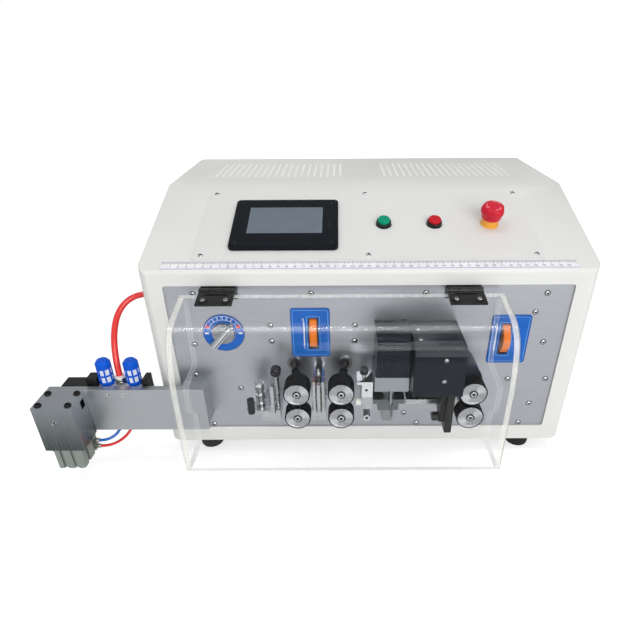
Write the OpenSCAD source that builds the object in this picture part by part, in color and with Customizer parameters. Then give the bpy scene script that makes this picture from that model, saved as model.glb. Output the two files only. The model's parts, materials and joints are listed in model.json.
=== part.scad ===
// Bench machine that feeds, cuts and strips wire.
// The machine's front faces -Y, +X is to its right, and it stands on Z = 0.
// Inside the modules, X = 0 is the middle of the cabinet and Y = 0 is its front face.

/* [Cabinet] */
// Width of the cabinet
cab_w = 560; // [540:5:640]
// Depth of the cabinet
cab_d = 366; // [340:2:420]
// Height of the cabinet's front, from its underside to the edge of the slope
front_h = 262; // [258:1:290]
// Angle of the sloping control face
slope_deg = 20; // [15:1:25]
// Length of the sloping control face
slope_len = 183; // [178:1:210]
// Thickness of the cabinet's sheet metal
sheet_t = 2; // [1.5:0.1:3]
// Radius of the cabinet's upright front corners
corner_r = 15; // [8:1:20]
// Radius of the bend between the cabinet's front and its slope
bend_r = 6; // [4:0.2:6.4]
// Width of the window in the front
window_w = 502; // [490:1:510]
// Height of the window in the front
window_h = 220; // [214:1:226]
// Height of the window's sill above the cabinet's underside
sill_h = 23.5; // [18:0.5:30]
// Length of a vent slot in the top
vent_len = 98; // [60:1:110]
// Width of a vent slot
vent_w = 3; // [2:0.5:5]
// Distance between vent slots
vent_pitch = 10; // [8:0.5:11]
// Height of a foot
foot_h = 22; // [15:1:30]
// Diameter of a foot
foot_d = 36; // [24:1:44]
// Distance of a foot's axis from the cabinet's side
foot_inset = 52; // [35:1:80]

/* [Control panel] */
// Width of the control panel
panel_w = 433; // [420:1:460]
// Length of the control panel along the slope
panel_len = 144; // [136:1:148]
// Distance of the control panel from the slope's front edge
panel_q = 20; // [18:1:26]
// Thickness of the control panel
panel_t = 1.5; // [1:0.1:3]
// Width of the display's bezel
display_w = 137; // [120:1:150]
// Length of the display's bezel along the slope
display_len = 101; // [90:1:106]
// Height of the display's bezel above the panel
display_h = 6; // [4:0.5:9]
// Width of the display's glass
glass_w = 96; // [80:1:105]
// Length of the display's glass along the slope
glass_len = 54; // [44:1:62]
// Diameter of a push button's cap
button_d = 16; // [12:0.5:20]
// Travel of a push button
button_travel = 2.5; // [1.5:0.1:4]
// Diameter of the emergency stop's head
estop_d = 31; // [26:0.5:40]
// Travel of the emergency stop
estop_travel = 4; // [3:0.1:6]

/* [Front plate] */
// Thickness of the aluminium front plate
plate_t = 10; // [6:0.5:14]
// Height of the wire line above the cabinet's underside
wire_h = 98; // [94:0.5:102]
// Distance of the wire line in front of the plate
wire_reach = 40; // [37:0.5:42]
// Diameter of the dial's printed ring
dial_d = 53; // [44:1:60]
// Diameter of a thumbwheel
wheel_d = 48; // [42:1:54]
// Width of a thumbwheel
wheel_w = 9; // [6:0.5:12]

/* [Rollers] */
// Distance of the rollers' faces in front of the plate
roller_reach = 52; // [49:0.5:56]
// Distance between the axes of a roller pair
roller_pitch = 37; // [36.5:0.1:39]
// Diameter of a feed roller over its tyre
feed_d = 33.5; // [30:0.1:34]
// Diameter of an outfeed roller over its tyre
out_d = 35; // [32:0.1:35.5]
// Wall of a tyre
tyre_wall = 1.5; // [1:0.1:3]
// Length of a tyre's straight part
tyre_len = 19; // [15:0.5:21]
// Diameter of a roller's shaft
shaft_d = 10; // [8:0.5:12]

/* [Front cover] */
// Width of the clear cover
cover_w = 390; // [380:1:400]
// Thickness of the clear sheets
cover_t = 5; // [3:0.5:6]
// Distance of the cover's front in front of the cabinet
cover_reach = 94; // [90:1:110]
// Height of the cover's lower edge above the cabinet's underside
cover_h = 34; // [26:1:40]

/* [Wire clamp and air] */
// Length of the infeed arm
arm_len = 204; // [196:1:230]
// Height of the infeed arm
arm_h = 66; // [60:1:70]
// Thickness of the infeed arm
arm_t = 9.5; // [6:0.5:14]
// Width of the clamp block
clamp_w = 50; // [48:1:60]
// Travel of the clamp's jaw
jaw_travel = 6; // [3:0.5:8]
// Diameter of the supply tube
tube_d = 8; // [6:0.5:9]
// Diameter of the tubes between valve and clamp
work_tube_d = 4; // [3:0.5:4.5]

/* [Blades] */
// Travel of each blade
blade_travel = 6.5; // [4:0.5:7]
// Thickness of a blade
blade_t = 2; // [1:0.1:3]

/* [Fits] */
// Gap between sheet-metal pieces
sheet_fit = 0.2; // [0.1:0.05:0.4]
// Radial clearance of a shaft or pin in its bore
run_fit = 0.05; // [0.02:0.01:0.08]
// Gap between pieces that pass each other
pass_fit = 0.4; // [0.3:0.05:0.8]

/* [Hidden] */
$fn = 64;

// Planes and heights of the cabinet
edge_z = foot_h + front_h;
slope_y = slope_len * cos(slope_deg);
top_z = edge_z + slope_len * sin(slope_deg);
floor_z = foot_h + sheet_t;
plate_y = sheet_t + sheet_fit;
plate_back = plate_y + plate_t;
window_z = foot_h + sill_h;
window_top = window_z + window_h;
plate_x = cab_w / 2 - corner_r;
plate_z = floor_z + sheet_fit;
plate_top = edge_z - 2 * sheet_t;
flange_h = 16;
vent_count = 20;
vent_x = 129;
foot_pin_r = 5;
foot_y = [foot_d / 2 + 6, cab_d - foot_d / 2 - 8];
foot_places = [for (x = [-1, 1], y = foot_y) [x * (cab_w / 2 - foot_inset), y]];
rear_vent_h = 70;
rear_vent_z = [foot_h + 70, foot_h + 190];
rear_vent_x = 60;
rear_vents = 10;

// Layout of the slope: [across, up the slope]
control_q = 88;
start_x = 22;
stop_x = 88;
estop_x = 160;
display_x = -105.7;
display_q = 86.5;
glass_q = 4;
glass_t = 1.5;
display_depth = 32;
display_rim = 7;
display_body_w = display_w - 2 * display_rim;
display_body_len = display_len - 2 * display_rim;
slope_cut = 20;
button_wall = 2;
button_bezel_h = 5;
button_cap_h = 4;
button_skirt = 7;
estop_stem_r = 8;
estop_pin_r = 5;
estop_collar_r = 14;
estop_collar_h = 11;
estop_head_h = 13;
estop_body_len = 34;
estop_sink = 12;
button_body_len = 30;
estop_body_r = 10.5;
screw_r = 1.6;
screw_len = 6;
rule_q = 11;
rule_len = 504;
rule_w = 13;
rule_t = 0.6;

// Layout of the front plate: [across, height above the cabinet's underside]
wire_y = plate_y - wire_reach;
wire_z = foot_h + wire_h;
roller_y = plate_y - roller_reach;
lower_z = wire_z - roller_pitch / 2;
upper_z = wire_z + roller_pitch / 2;
feed_x = [-90.3, -34.6];
feed_lean = [-6, 6];
cup_z = upper_z + 15;
out_x = 130.5;
shaft_r = shaft_d / 2;
bush_wall = 4;
bush_flange = 3;
cup_r = 9;
ball_r = 5;
ball_seat = 9;
link_r = 2.8;
motor_w = 52;
motor_len = 62;
motor_gap = 26;
motor_bore = 12;
motor_reach = motor_gap + motor_bore - 2;
motor_pillar = 20;
blade_motor_z = upper_z + 60;
dial_place = [-184, foot_h + 177];
dial_rest = -40;
dial_pin_r = 3;
print_t = 1;
wheel_place = [[-69.5, foot_h + 175.5], [176, foot_h + 166]];
label_place = [[-73.2, foot_h + 176.5], [181.5, foot_h + 165.5]];
label_w = 50;
label_h = 71;
wheel_sink = 13;
wheel_y = plate_y + wheel_sink;
wheel_pin_r = 3;
wheel_gap = 1.2;
plate_screw_places = [
    [-224, 160], [-124, 187], [-124, 164], [-229, 113], [-171, 90], [-216, 232], [-215, 28], [-71, 232],
    [-17, 187], [-17, 164], [70, 232], [219, 231], [209, 205], [227, 161], [241, 103], [226, 62],
    [217, 28], [190, 103], [53, 46], [72, 28], [94, 44]
];

// Hinges and profile of the clear cover
hinge_x = [-182.5, 114.5];
hinge_w = 43;
hinge_y = plate_y - 9.7;
hinge_z = window_top - 3.5;
hinge_r = 4;
hinge_pin_r = 1.6;
hinge_leaf_t = 3;
hinge_leaf_len = 27;
hinge_knuckle = 15;
cover_x = -32.5;
cover_side_t = 6;
cover_z = foot_h + cover_h;
top_deg = 12;
brow_deg = 72;
crown_r = 40;
brow_r = 180;
sheet_back = 5;
panel_sink = 1.5;
panel_inset = 0.5;
lift = hinge_leaf_t / 2;
top_y0 = hinge_y + lift * sin(top_deg);
top_z0 = hinge_z - lift * cos(top_deg);
crown_dy = crown_r * (sin(brow_deg) - sin(top_deg));
crown_dz = crown_r * (cos(top_deg) - cos(brow_deg));
brow_dy = brow_r * (1 - sin(brow_deg));
brow_dz = brow_r * cos(brow_deg);
top_run = cover_reach + top_y0 - crown_dy - brow_dy;
crown_start = [top_y0 - top_run, top_z0 - top_run * tan(top_deg)];
crown_c = crown_start + crown_r * [sin(top_deg), -cos(top_deg)];
brow_start = crown_start - [crown_dy, crown_dz];
brow_c = brow_start + brow_r * [sin(brow_deg), -cos(brow_deg)];
brow_end = brow_start - [brow_dy, brow_dz];
notch_low = 109 - 22 + foot_h;
notch_high = 155 - 22 + foot_h;
notch_y = -57;
leg_y = -41;

// Infeed arm, clamp and air pieces
arm_x1 = -213;
arm_x0 = arm_x1 - arm_len;
arm_front = plate_y - 28.7;
arm_back = arm_front + arm_t;
arm_top = wire_z + 10.5;
arm_low = arm_top - arm_h;
standoff_w = 34;
clamp_x0 = arm_x0;
clamp_x1 = clamp_x0 + clamp_w;
clamp_xm = (clamp_x0 + clamp_x1) / 2;
clamp_front = arm_front - 37;
clamp_low = arm_low - 2.5;
channel_w = 9;
channel_z1 = wire_z + 4;
channel_z0 = channel_z1 - 2 * jaw_travel;
jaw_r = 4.2;
cyl_w = 36;
cyl_d = 44;
cyl_h = 32;
cyl_z0 = clamp_low - cyl_h;
cyl_ym = clamp_front + 1.5 + cyl_d / 2;
valve_y0 = arm_back + sheet_fit;
valve_d = 22;
valve_ym = valve_y0 + valve_d / 2;
valve_x0 = arm_x0 + 49;
valve_x1 = arm_x0 + 121;
valve_z1 = arm_top - 4;
valve_z0 = valve_z1 - 28;
silencer_x = [arm_x0 + 72, arm_x0 + 108];
silencer_r = 9.5;
silencer_h = 38;
supply_x = arm_x0 + 90;
work_x = [arm_x0 + 81, arm_x0 + 99];
tube_r = tube_d / 2;
work_r = work_tube_d / 2;
work_k = work_tube_d / tube_d;
fitting_r = tube_r + 2.6;
fitting_h = 14;
thread_r = fitting_r - 2;
thread_len = 5;
port_depth = 6;
tube_sink = 9;
cyl_side = clamp_xm + cyl_w / 2;
port_y = -25.5;
port_z = [cyl_z0 + 5.5, cyl_z0 + 15.5];
bulk_y = 55;
bulk_z = foot_h + 208;
bulk_len = 12;
bulk_end = [-cab_w / 2, bulk_y, bulk_z];

// Blades and their covers
rail_x = 29;
rail_w = 14;
rail_d = 10;
rail_z0 = foot_h + 40;
rail_z1 = foot_h + 180;
blade_front = plate_y - 46;
hood_x = [8, 48.7];
hood_front = plate_y - 52;
hood_low = foot_h + 142;
hood_top = foot_h + 195;
hood_r = 22;
hood_t = 2;
housing_x = [51, 112];
housing_front = plate_y - 69;
housing_low = foot_h + 126;
housing_top = foot_h + 193;
housing_cut = [7, 10];
guard_in = out_d / 2 + 2;
guard_at = [117, upper_z + 11.5];
guard_r = 25.5;
guard_front = plate_y - 40;
holder_x = [7, 50];
upper_low = wire_z + 19;
upper_mid = hood_low - 2;
upper_top = hood_top - 20;
lower_top = wire_z - 12;
lower_low = wire_z - 36;
blade_gap = blade_travel - 0.5;
blade_notch = 6;
blade_half = 9;
notch_half = 7;
guide_bore_r = 3.5;

// Wire guides: inlet, middle, in front of the blades and behind them
inlet_x = [-156, -137, -113];
inlet_z = foot_h + 72;
inlet_h = 16;
shelf_h = 6;
guide_pin_r = 3.3;
guide_pin_x = -121;
eyelet_x = guide_pin_x + 4;
guide_post_r = 4.5;
guide_post_x = [-149, -139];
eyelet_r = 6.5;
eyelet_bore_r = 3.5;
eyelet_z = wire_z + 41;
middle_x = [-72, -54];
middle_z = foot_h + 72;
middle_h = 16;
middle_plate_t = 3;
middle_plate_z = wire_z + 34;
dowel_x = (middle_x[0] + middle_x[1]) / 2;
dowel_z = wire_z + 37;
dowel_tip = 8;
nose_x = [-9, 5];
nose_low = wire_z - 8;
nose_leg = wire_z - 32;
nose_mid = wire_z + 12;
nose_top = wire_z + 31;
nose_cap = 4;
nose_bush_r = 5.5;
nose_bolt_x = -6;
nose_bolt_r = 2.5;
nose_bolt_top = wire_z + 51;
thumb_x = -2;
thumb_z = wire_z - 17;
ledge_x = [52, 95];
ledge_t = 7;
ledge_front = plate_y - 22;
outlet_x = [92, 100, 108];
outlet_low = wire_z - 43;
outlet_top = housing_low - 2;

// Pieces inside the cabinet and on its back
inlet_place = [-200, foot_h + 60];
inlet_body = [28, 48];
inlet_face = [36, 62];
inlet_depth = 24;
supply_at = [-240, 180];
supply_size = [120, 110, 50];
board_at = [40, 180];
board_size = [180, 120, 2];
board_lift = 10;

// Whole machine's box
inlet_flange = 3;
left_x = arm_x0;
right_x = cab_w / 2;
front_y = -cover_reach;
back_y = cab_d + inlet_flange;

// Puts the machine's middle at the origin
module placed() {
    translate([-(left_x + right_x) / 2, -(front_y + back_y) / 2, 0]) children();
}

// Box between two corners
module slab(x0, x1, y0, y1, z0, z1) {
    translate([x0, y0, z0]) cube([x1 - x0, y1 - y0, z1 - z0]);
}

// Round bar along X, Y or Z
module rod_x(y, z, x0, x1, r) {
    translate([x0, y, z]) rotate([0, 90, 0]) cylinder(h = x1 - x0, r = r);
}

module rod_y(x, z, y0, y1, r) {
    translate([x, y0, z]) rotate([-90, 0, 0]) cylinder(h = y1 - y0, r = r);
}

module rod_z(x, y, z0, z1, r) {
    translate([x, y, z0]) cylinder(h = z1 - z0, r = r);
}

// Rectangle with round corners, centred
module round_rect(w, h, r) {
    square([w - 2 * r, h], center = true);
    square([w, h - 2 * r], center = true);
    for (x = [-1, 1], y = [-1, 1]) translate([x * (w / 2 - r), y * (h / 2 - r)]) circle(r);
}

// Outline drawn in Y and Z, pulled along X
module across(x0, x1) {
    translate([x0, 0, 0]) rotate([90, 0, 90]) linear_extrude(x1 - x0) children();
}

// Outline drawn in X and Z, pulled back along Y
module back_from(y0, t) {
    translate([0, y0 + t, 0]) rotate([90, 0, 0]) linear_extrude(t) children();
}

// Frame whose X and Y lie in the sloping control face
module on_slope(x = 0, q = 0, h = 0) {
    translate([0, 0, edge_z]) rotate([slope_deg, 0, 0]) translate([x, q, h]) children();
}

// Frame of a roller or bush: local Z runs back along Y
module on_plate(x, z, y = plate_y) {
    translate([x, y, z]) rotate([-90, 0, 0]) children();
}

module side_profile(inset, low, back) {
    top = top_z - inset;
    crest = (top - edge_z + inset / cos(slope_deg)) / tan(slope_deg);
    brow = edge_z + inset * tan(slope_deg) - inset / cos(slope_deg);
    r = bend_r - inset;
    cut = r / tan(45 + slope_deg / 2);
    polygon([
        [inset, low], [back, low], [back, top], [crest, top],
        [inset + cut * cos(slope_deg), brow + cut * sin(slope_deg)], [inset, brow - cut]
    ]);
    translate([inset + r, brow - cut]) circle(r);
}

module plan(inset, back) {
    x = cab_w / 2 - inset;
    mid = cab_w / 2 - corner_r;
    translate([-x, corner_r]) square([2 * x, back - corner_r]);
    translate([-mid, inset]) square([2 * mid, corner_r]);
    for (s = [-1, 1]) translate([s * mid, corner_r]) circle(corner_r - inset);
}

module cabinet_solid(inset, low, back) {
    intersection() {
        across(-cab_w, cab_w) side_profile(inset, low, back);
        translate([0, 0, low]) linear_extrude(top_z) plan(inset, back);
    }
}

module panel_screw_spots() {
    for (x = [-1, 0, 1], q = [8, panel_len - 7])
        on_slope(x * (panel_w / 2 - 10), panel_q + q, panel_t) children();
}

module slope_holes(gap) {
    on_slope(display_x, display_q, -slope_cut)
        linear_extrude(2 * slope_cut) round_rect(display_body_w + gap, display_body_len + gap, 2);
    for (x = [start_x, stop_x])
        on_slope(x, control_q, -slope_cut)
            cylinder(h = 2 * slope_cut, r = button_d / 2 + button_wall + gap / 2);
    on_slope(estop_x, control_q, -slope_cut) cylinder(h = 2 * slope_cut, r = estop_body_r + gap / 2);
    panel_screw_spots() translate([0, 0, -slope_cut]) cylinder(h = 2 * slope_cut, r = screw_r + run_fit);
}

module vent_row(x, y, z, count) {
    for (i = [0 : count - 1])
        translate([x + (i - (count - 1) / 2) * vent_pitch, y, z]) children();
}

module cabinet_shell() {
    color("whitesmoke") placed() difference() {
        cabinet_solid(0, foot_h, cab_d);
        cabinet_solid(sheet_t, foot_h - 1, cab_d + 1);
        translate([0, 0, window_z + window_h / 2])
            back_from(-1, sheet_t + 2) round_rect(window_w, window_h, 4);
        for (s = [-1, 1])
            vent_row(s * vent_x, (slope_y + cab_d - vent_len) / 2, top_z - sheet_t - 1, vent_count)
                translate([-vent_w / 2, 0, 0]) cube([vent_w, vent_len, sheet_t + 2]);
        slope_holes(2 * pass_fit);
        rod_x(bulk_y, bulk_z, -cab_w / 2 - 1, -cab_w / 2 + sheet_t + 1, fitting_r + run_fit);
    }
}

module base_plate() {
    rim = sheet_t + sheet_fit;
    color("gainsboro") placed() difference() {
        translate([0, 0, foot_h]) linear_extrude(flange_h) plan(rim, cab_d - rim);
        translate([0, 0, floor_z]) linear_extrude(flange_h) plan(rim + sheet_t, cab_d - rim - sheet_t);
        slab(-cab_w, cab_w, -1, plate_back + 1, floor_z, floor_z + flange_h);
        for (p = foot_places) rod_z(p.x, p.y, foot_h - 1, floor_z + 1, foot_pin_r + run_fit);
    }
}

module rear_panel() {
    x = cab_w / 2 - sheet_t - sheet_fit;
    color("whitesmoke") placed() difference() {
        slab(-x, x, cab_d - sheet_t, cab_d, foot_h, top_z - sheet_t - sheet_fit);
        for (z = rear_vent_z)
            vent_row(rear_vent_x, cab_d - sheet_t - 1, z, rear_vents)
                translate([-vent_w / 2, 0, 0]) cube([vent_w, sheet_t + 2, rear_vent_h]);
        inlet_frame() back_from(cab_d - sheet_t - 1, sheet_t + 2)
            square([inlet_body.x + pass_fit, inlet_body.y + pass_fit], center = true);
    }
}

module inlet_frame() {
    translate([inlet_place.x, 0, inlet_place.y]) children();
}

// Mains inlet with its socket and switch
module power_inlet() {
    color("black") placed() inlet_frame() difference() {
        union() {
            back_from(cab_d + sheet_fit, inlet_flange - sheet_fit) round_rect(inlet_face.x, inlet_face.y, 3);
            back_from(cab_d - inlet_depth, inlet_depth + sheet_fit) square(inlet_body, center = true);
        }
        translate([0, 0, -inlet_body.y / 4]) back_from(cab_d - 16, 20) square([21, 16], center = true);
        translate([0, 0, inlet_body.y / 4]) back_from(cab_d - 2, 6) square([20, 14], center = true);
    }
}

module feet() {
    color([0.08, 0.08, 0.08]) placed() for (p = foot_places) {
        translate([p.x, p.y, 0]) cylinder(h = foot_h, r1 = foot_d / 2 - 2, r2 = foot_d / 2);
        rod_z(p.x, p.y, foot_h - 1, floor_z + 3, foot_pin_r);
    }
}

module control_panel() {
    color("white") placed() difference() {
        on_slope(0, panel_q + panel_len / 2) linear_extrude(panel_t) round_rect(panel_w, panel_len, 5);
        slope_holes(2 * pass_fit);
    }
}

module button_screw() {
    translate([0, 0, -screw_len]) cylinder(h = screw_len, r = screw_r);
    difference() {
        intersection() {
            cylinder(h = 2, r = 2 * screw_r);
            translate([0, 0, -2.6]) sphere(4.4);
        }
        translate([0, 0, 1]) cylinder(h = 2, r = screw_r, $fn = 6);
    }
}

module plate_screws() {
    color("silver") placed() {
        panel_screw_spots() button_screw();
        for (p = plate_screw_places)
            translate([p.x, plate_y, foot_h + p.y]) rotate([90, 0, 0]) button_screw();
    }
}

module display_bezel() {
    color("black") placed() difference() {
        on_slope(display_x, display_q) {
            translate([0, 0, panel_t]) {
                linear_extrude(display_h - 1.5) round_rect(display_w, display_len, 6);
                linear_extrude(display_h) round_rect(display_w - 6, display_len - 6, 4);
            }
            translate([0, 0, -display_depth]) linear_extrude(display_depth + panel_t)
                round_rect(display_body_w, display_body_len, 2);
        }
        on_slope(display_x, display_q + glass_q, panel_t + display_h - glass_t)
            linear_extrude(2 * glass_t)
                square([glass_w + 2 * run_fit, glass_len + 2 * run_fit], center = true);
    }
}

module display_glass() {
    color("slategray") placed() on_slope(display_x, display_q + glass_q, panel_t + display_h - glass_t)
        linear_extrude(glass_t - 0.3) square([glass_w, glass_len], center = true);
}

module button_bezels() {
    r = button_d / 2;
    color([0.1, 0.1, 0.1]) placed() for (x = [start_x, stop_x]) on_slope(x, control_q) difference() {
        union() {
            translate([0, 0, panel_t]) cylinder(h = button_bezel_h, r1 = r + 4, r2 = r + 2.5);
            translate([0, 0, -button_body_len]) cylinder(h = button_body_len + panel_t, r = r + button_wall);
        }
        translate([0, 0, panel_t + button_bezel_h - button_skirt - button_travel - pass_fit])
            cylinder(h = button_body_len, r = r + run_fit);
    }
}

module button_cap(x) {
    h = button_skirt + button_cap_h;
    on_slope(x, control_q, panel_t + button_bezel_h - button_skirt) {
        cylinder(h = h - 1, r = button_d / 2);
        translate([0, 0, h - 1]) cylinder(h = 1, r1 = button_d / 2, r2 = button_d / 2 - 1);
    }
}

module start_button() {
    color("seagreen") placed() button_cap(start_x);
}

module stop_button() {
    color("crimson") placed() button_cap(stop_x);
}

module estop_collar() {
    r = estop_collar_r;
    color("orange") placed() on_slope(estop_x, control_q) difference() {
        union() {
            translate([0, 0, panel_t]) cylinder(h = 4, r = r + 2);
            translate([0, 0, panel_t + 4]) cylinder(h = estop_collar_h - 4, r1 = r, r2 = r - 2);
            translate([0, 0, -estop_body_len]) cylinder(h = estop_body_len + panel_t, r = estop_body_r);
        }
        translate([0, 0, -estop_sink - estop_travel - 4])
            cylinder(h = 2 * estop_body_len, r = estop_stem_r + run_fit);
    }
}

module estop_stem() {
    rise = panel_t + estop_collar_h + estop_travel;
    color("firebrick") placed() on_slope(estop_x, control_q) {
        translate([0, 0, -estop_sink]) cylinder(h = rise + estop_sink, r = estop_stem_r);
        translate([0, 0, rise]) cylinder(h = 8, r = estop_pin_r);
    }
}

module estop_head() {
    rise = panel_t + estop_collar_h + estop_travel + pass_fit;
    r = estop_d / 2;
    color("red") placed() on_slope(estop_x, control_q, rise) difference() {
        union() {
            cylinder(h = 4, r1 = r - 3, r2 = r);
            translate([0, 0, 4]) cylinder(h = estop_head_h - 8, r1 = r, r2 = r - 2);
            translate([0, 0, estop_head_h - 4]) cylinder(h = 4, r1 = r - 2, r2 = r - 6);
        }
        translate([0, 0, -1]) cylinder(h = 10, r = estop_pin_r + run_fit);
        for (a = [0 : 120 : 240]) rotate([0, 0, a])
            translate([r - 1, -1.5, estop_head_h - 4]) cube([3, 3, 5]);
    }
}

module bush_hole(x, z) {
    rod_y(x, z, plate_y - 1, plate_back + 1, shaft_r + bush_wall + run_fit);
}

module front_plate() {
    color("silver") placed() difference() {
        slab(-plate_x, plate_x, plate_y, plate_back, plate_z, plate_top);
        for (x = [feed_x[0], feed_x[1], out_x]) bush_hole(x, lower_z);
        bush_hole(out_x, upper_z);
        for (i = [0, 1])
            rod_y(feed_x[i] + feed_lean[i], cup_z, plate_y - 1, plate_back + 1, cup_r + run_fit);
        for (p = wheel_place) {
            x = wheel_w / 2 + wheel_gap;
            z = wheel_d / 2 + wheel_gap;
            slab(p.x - x, p.x + x, plate_y - 1, plate_back + 1, p.y - z, p.y + z);
        }
        rod_y(dial_place.x, dial_place.y, plate_y - 1, plate_back + 1, dial_pin_r + run_fit);
        for (p = plate_screw_places)
            rod_y(p.x, foot_h + p.y, plate_y - 1, plate_y + screw_len + 1, screw_r + run_fit);
    }
}

module scale_plates() {
    color([0.08, 0.4, 0.76]) placed() {
        on_plate(dial_place.x, dial_place.y, plate_y - print_t) difference() {
            cylinder(h = print_t, r = dial_d / 2);
            translate([0, 0, -1]) cylinder(h = print_t + 2, r = dial_pin_r + 1);
        }
        for (i = [0, 1]) back_from(plate_y - print_t, print_t) difference() {
            translate(label_place[i]) round_rect(label_w, label_h, 4);
            translate(wheel_place[i]) square([wheel_w + 2 * wheel_gap, 0.92 * wheel_d], center = true);
        }
        on_slope(0, rule_q) translate([-rule_len / 2, -rule_w / 2, 0]) cube([rule_len, rule_w, rule_t]);
    }
}

// Pointer shape: half width, and how far its tail and its tip reach
module pointer(w, tail, tip) {
    polygon([[-w, tail], [-0.8 * w, 7 - tip], [0, -tip], [0.8 * w, 7 - tip], [w, tail]]);
}

module dial_knob() {
    color("silver") placed() on_plate(dial_place.x, dial_place.y, plate_y - print_t)
        rotate([0, 0, -dial_rest]) {
            translate([0, 0, -3 - pass_fit]) cylinder(h = 3, r1 = 14, r2 = 15);
            translate([0, 0, -9]) linear_extrude(6) pointer(5, 22, 23);
            translate([0, 0, -15]) linear_extrude(7) pointer(3.5, 20, 21);
            translate([0, 0, -4]) cylinder(h = 4 + print_t + plate_t, r = dial_pin_r);
        }
}

module thumbwheel(p) {
    r = wheel_d / 2;
    translate([p.x, wheel_y, p.y]) rotate([0, 90, 0]) {
        difference() {
            cylinder(h = wheel_w, r = r, center = true);
            for (a = [0 : 15 : 345]) rotate([0, 0, a])
                translate([r + 0.6, 0, 0]) cylinder(h = 2 * wheel_w, r = 1.5, center = true);
        }
        cylinder(h = wheel_w + 16, r = wheel_pin_r, center = true);
    }
}

module feed_wheel() {
    color("darkorange") placed() thumbwheel(wheel_place[0]);
}

module outfeed_wheel() {
    color("darkorange") placed() thumbwheel(wheel_place[1]);
}

// Flanged bush in the plate, and a cup for a ball-ended shaft
module bush(x, z) {
    on_plate(x, z) difference() {
        union() {
            translate([0, 0, -bush_flange]) cylinder(h = bush_flange, r = shaft_r + bush_wall + 2);
            cylinder(h = plate_t, r = shaft_r + bush_wall);
        }
        translate([0, 0, -bush_flange - 1]) cylinder(h = plate_t + bush_flange + 2, r = shaft_r + run_fit);
    }
}

module ball_cup(x, z) {
    on_plate(x, z) difference() {
        translate([0, 0, -3.5]) cylinder(h = plate_t + 3.5, r = cup_r);
        translate([0, 0, -3]) sphere(ball_r + pass_fit);
    }
}

module wheel_ears(p) {
    for (s = [-1, 1]) translate([p.x + s * (wheel_w / 2 + 5), 0, p.y]) difference() {
        slab(-2, 2, plate_back, wheel_y + 7, -8, 8);
        rod_x(wheel_y, 0, -3, 3, wheel_pin_r + run_fit);
    }
}

module shaft_bearings() {
    color("gray") placed() {
        for (x = [feed_x[0], feed_x[1], out_x]) bush(x, lower_z);
        bush(out_x, upper_z);
        for (i = [0, 1]) ball_cup(feed_x[i] + feed_lean[i], cup_z);
        for (p = wheel_place) wheel_ears(p);
    }
}

// Square motor on four pillars behind the plate
module motor(x, z, bored) {
    on_plate(x, z, plate_back) {
        difference() {
            translate([0, 0, motor_gap]) linear_extrude(motor_len) round_rect(motor_w, motor_w, 5);
            if (bored) translate([0, 0, motor_gap - 1]) cylinder(h = motor_bore + 1, r = shaft_r + run_fit);
        }
        for (u = [-1, 1], v = [-1, 1]) translate([u * motor_pillar, v * motor_pillar, 0])
            cylinder(h = motor_gap, r = 4);
    }
}

module drive_motors() {
    color("dimgray") placed() {
        for (x = [feed_x[0], feed_x[1], out_x]) motor(x, lower_z, true);
        motor(rail_x, blade_motor_z, false);
    }
}

module power_supply() {
    slot = 4;
    color("lightgray") placed() translate([supply_at.x, supply_at.y, floor_z]) difference() {
        cube(supply_size);
        for (x = [10 : 3 * slot : supply_size.x - 10])
            translate([x, 10, supply_size.z - 3]) cube([slot, supply_size.y - 20, 4]);
    }
}

// Circuit board on four pillars, with a heat sink and a row of terminals
module control_board() {
    top = board_lift + board_size.z;
    color("darkgreen") placed() translate([board_at.x, board_at.y, floor_z]) {
        translate([0, 0, board_lift]) cube(board_size);
        for (x = [10, board_size.x - 10], y = [10, board_size.y - 10]) rod_z(x, y, 0, board_lift, 3);
        translate([20, 20, top]) cube([60, 80, 18]);
        translate([100, 30, top]) cube([60, 30, 10]);
    }
}

// Rollers: aluminium hub on its shaft, and a black tyre round it
module hub_disc(d) {
    r = d / 2 - tyre_wall - run_fit;
    difference() {
        cylinder(h = tyre_len, r = r);
        translate([0, 0, -1]) cylinder(h = 3.5, r = 5.6);
        translate([0, 0, -1]) cylinder(h = 1.4, r1 = r - 0.8, r2 = r - 2.4);
    }
    difference() {
        translate([0, 0, 1]) cylinder(h = 2, r = 4.4);
        cylinder(h = 2.4, r = 2.4, $fn = 6);
    }
}

module driven_hub(x, z, d, tail) {
    on_plate(x, z, roller_y) {
        hub_disc(d);
        translate([0, 0, tyre_len]) {
            cylinder(h = roller_reach - tyre_len - bush_flange - pass_fit, r = shaft_r + 3);
            cylinder(h = roller_reach - tyre_len + plate_t + tail, r = shaft_r);
        }
    }
}

module socket_hub(x, z) {
    on_plate(x, z, roller_y) {
        hub_disc(feed_d);
        translate([0, 0, tyre_len]) difference() {
            cylinder(h = ball_seat + 0.5, r = ball_r + 3.5);
            translate([0, 0, ball_seat]) sphere(ball_r + pass_fit);
        }
    }
}

module plain_tyre(x, z, d) {
    r = d / 2;
    edge = 0.6;
    on_plate(x, z, roller_y) difference() {
        union() {
            cylinder(h = edge, r1 = r - edge, r2 = r);
            translate([0, 0, edge]) cylinder(h = tyre_len - 2 * edge, r = r);
            translate([0, 0, tyre_len - edge]) cylinder(h = edge, r1 = r, r2 = r - edge);
        }
        translate([0, 0, -1]) cylinder(h = tyre_len + 2, r = r - tyre_wall);
    }
}

module domed_tyre(x, z) {
    bore = ball_r + 4;
    r = feed_d / 2;
    plain_tyre(x, z, feed_d);
    on_plate(x, z, roller_y + tyre_len) rotate_extrude() {
        translate([bore, 0]) square([r - 0.6 - bore, 1]);
        translate([bore, 0.6]) square([r - bore, 3.4]);
        intersection() {
            translate([bore, 4]) circle(r - bore);
            translate([bore, 4]) square(r);
        }
    }
}

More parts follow.
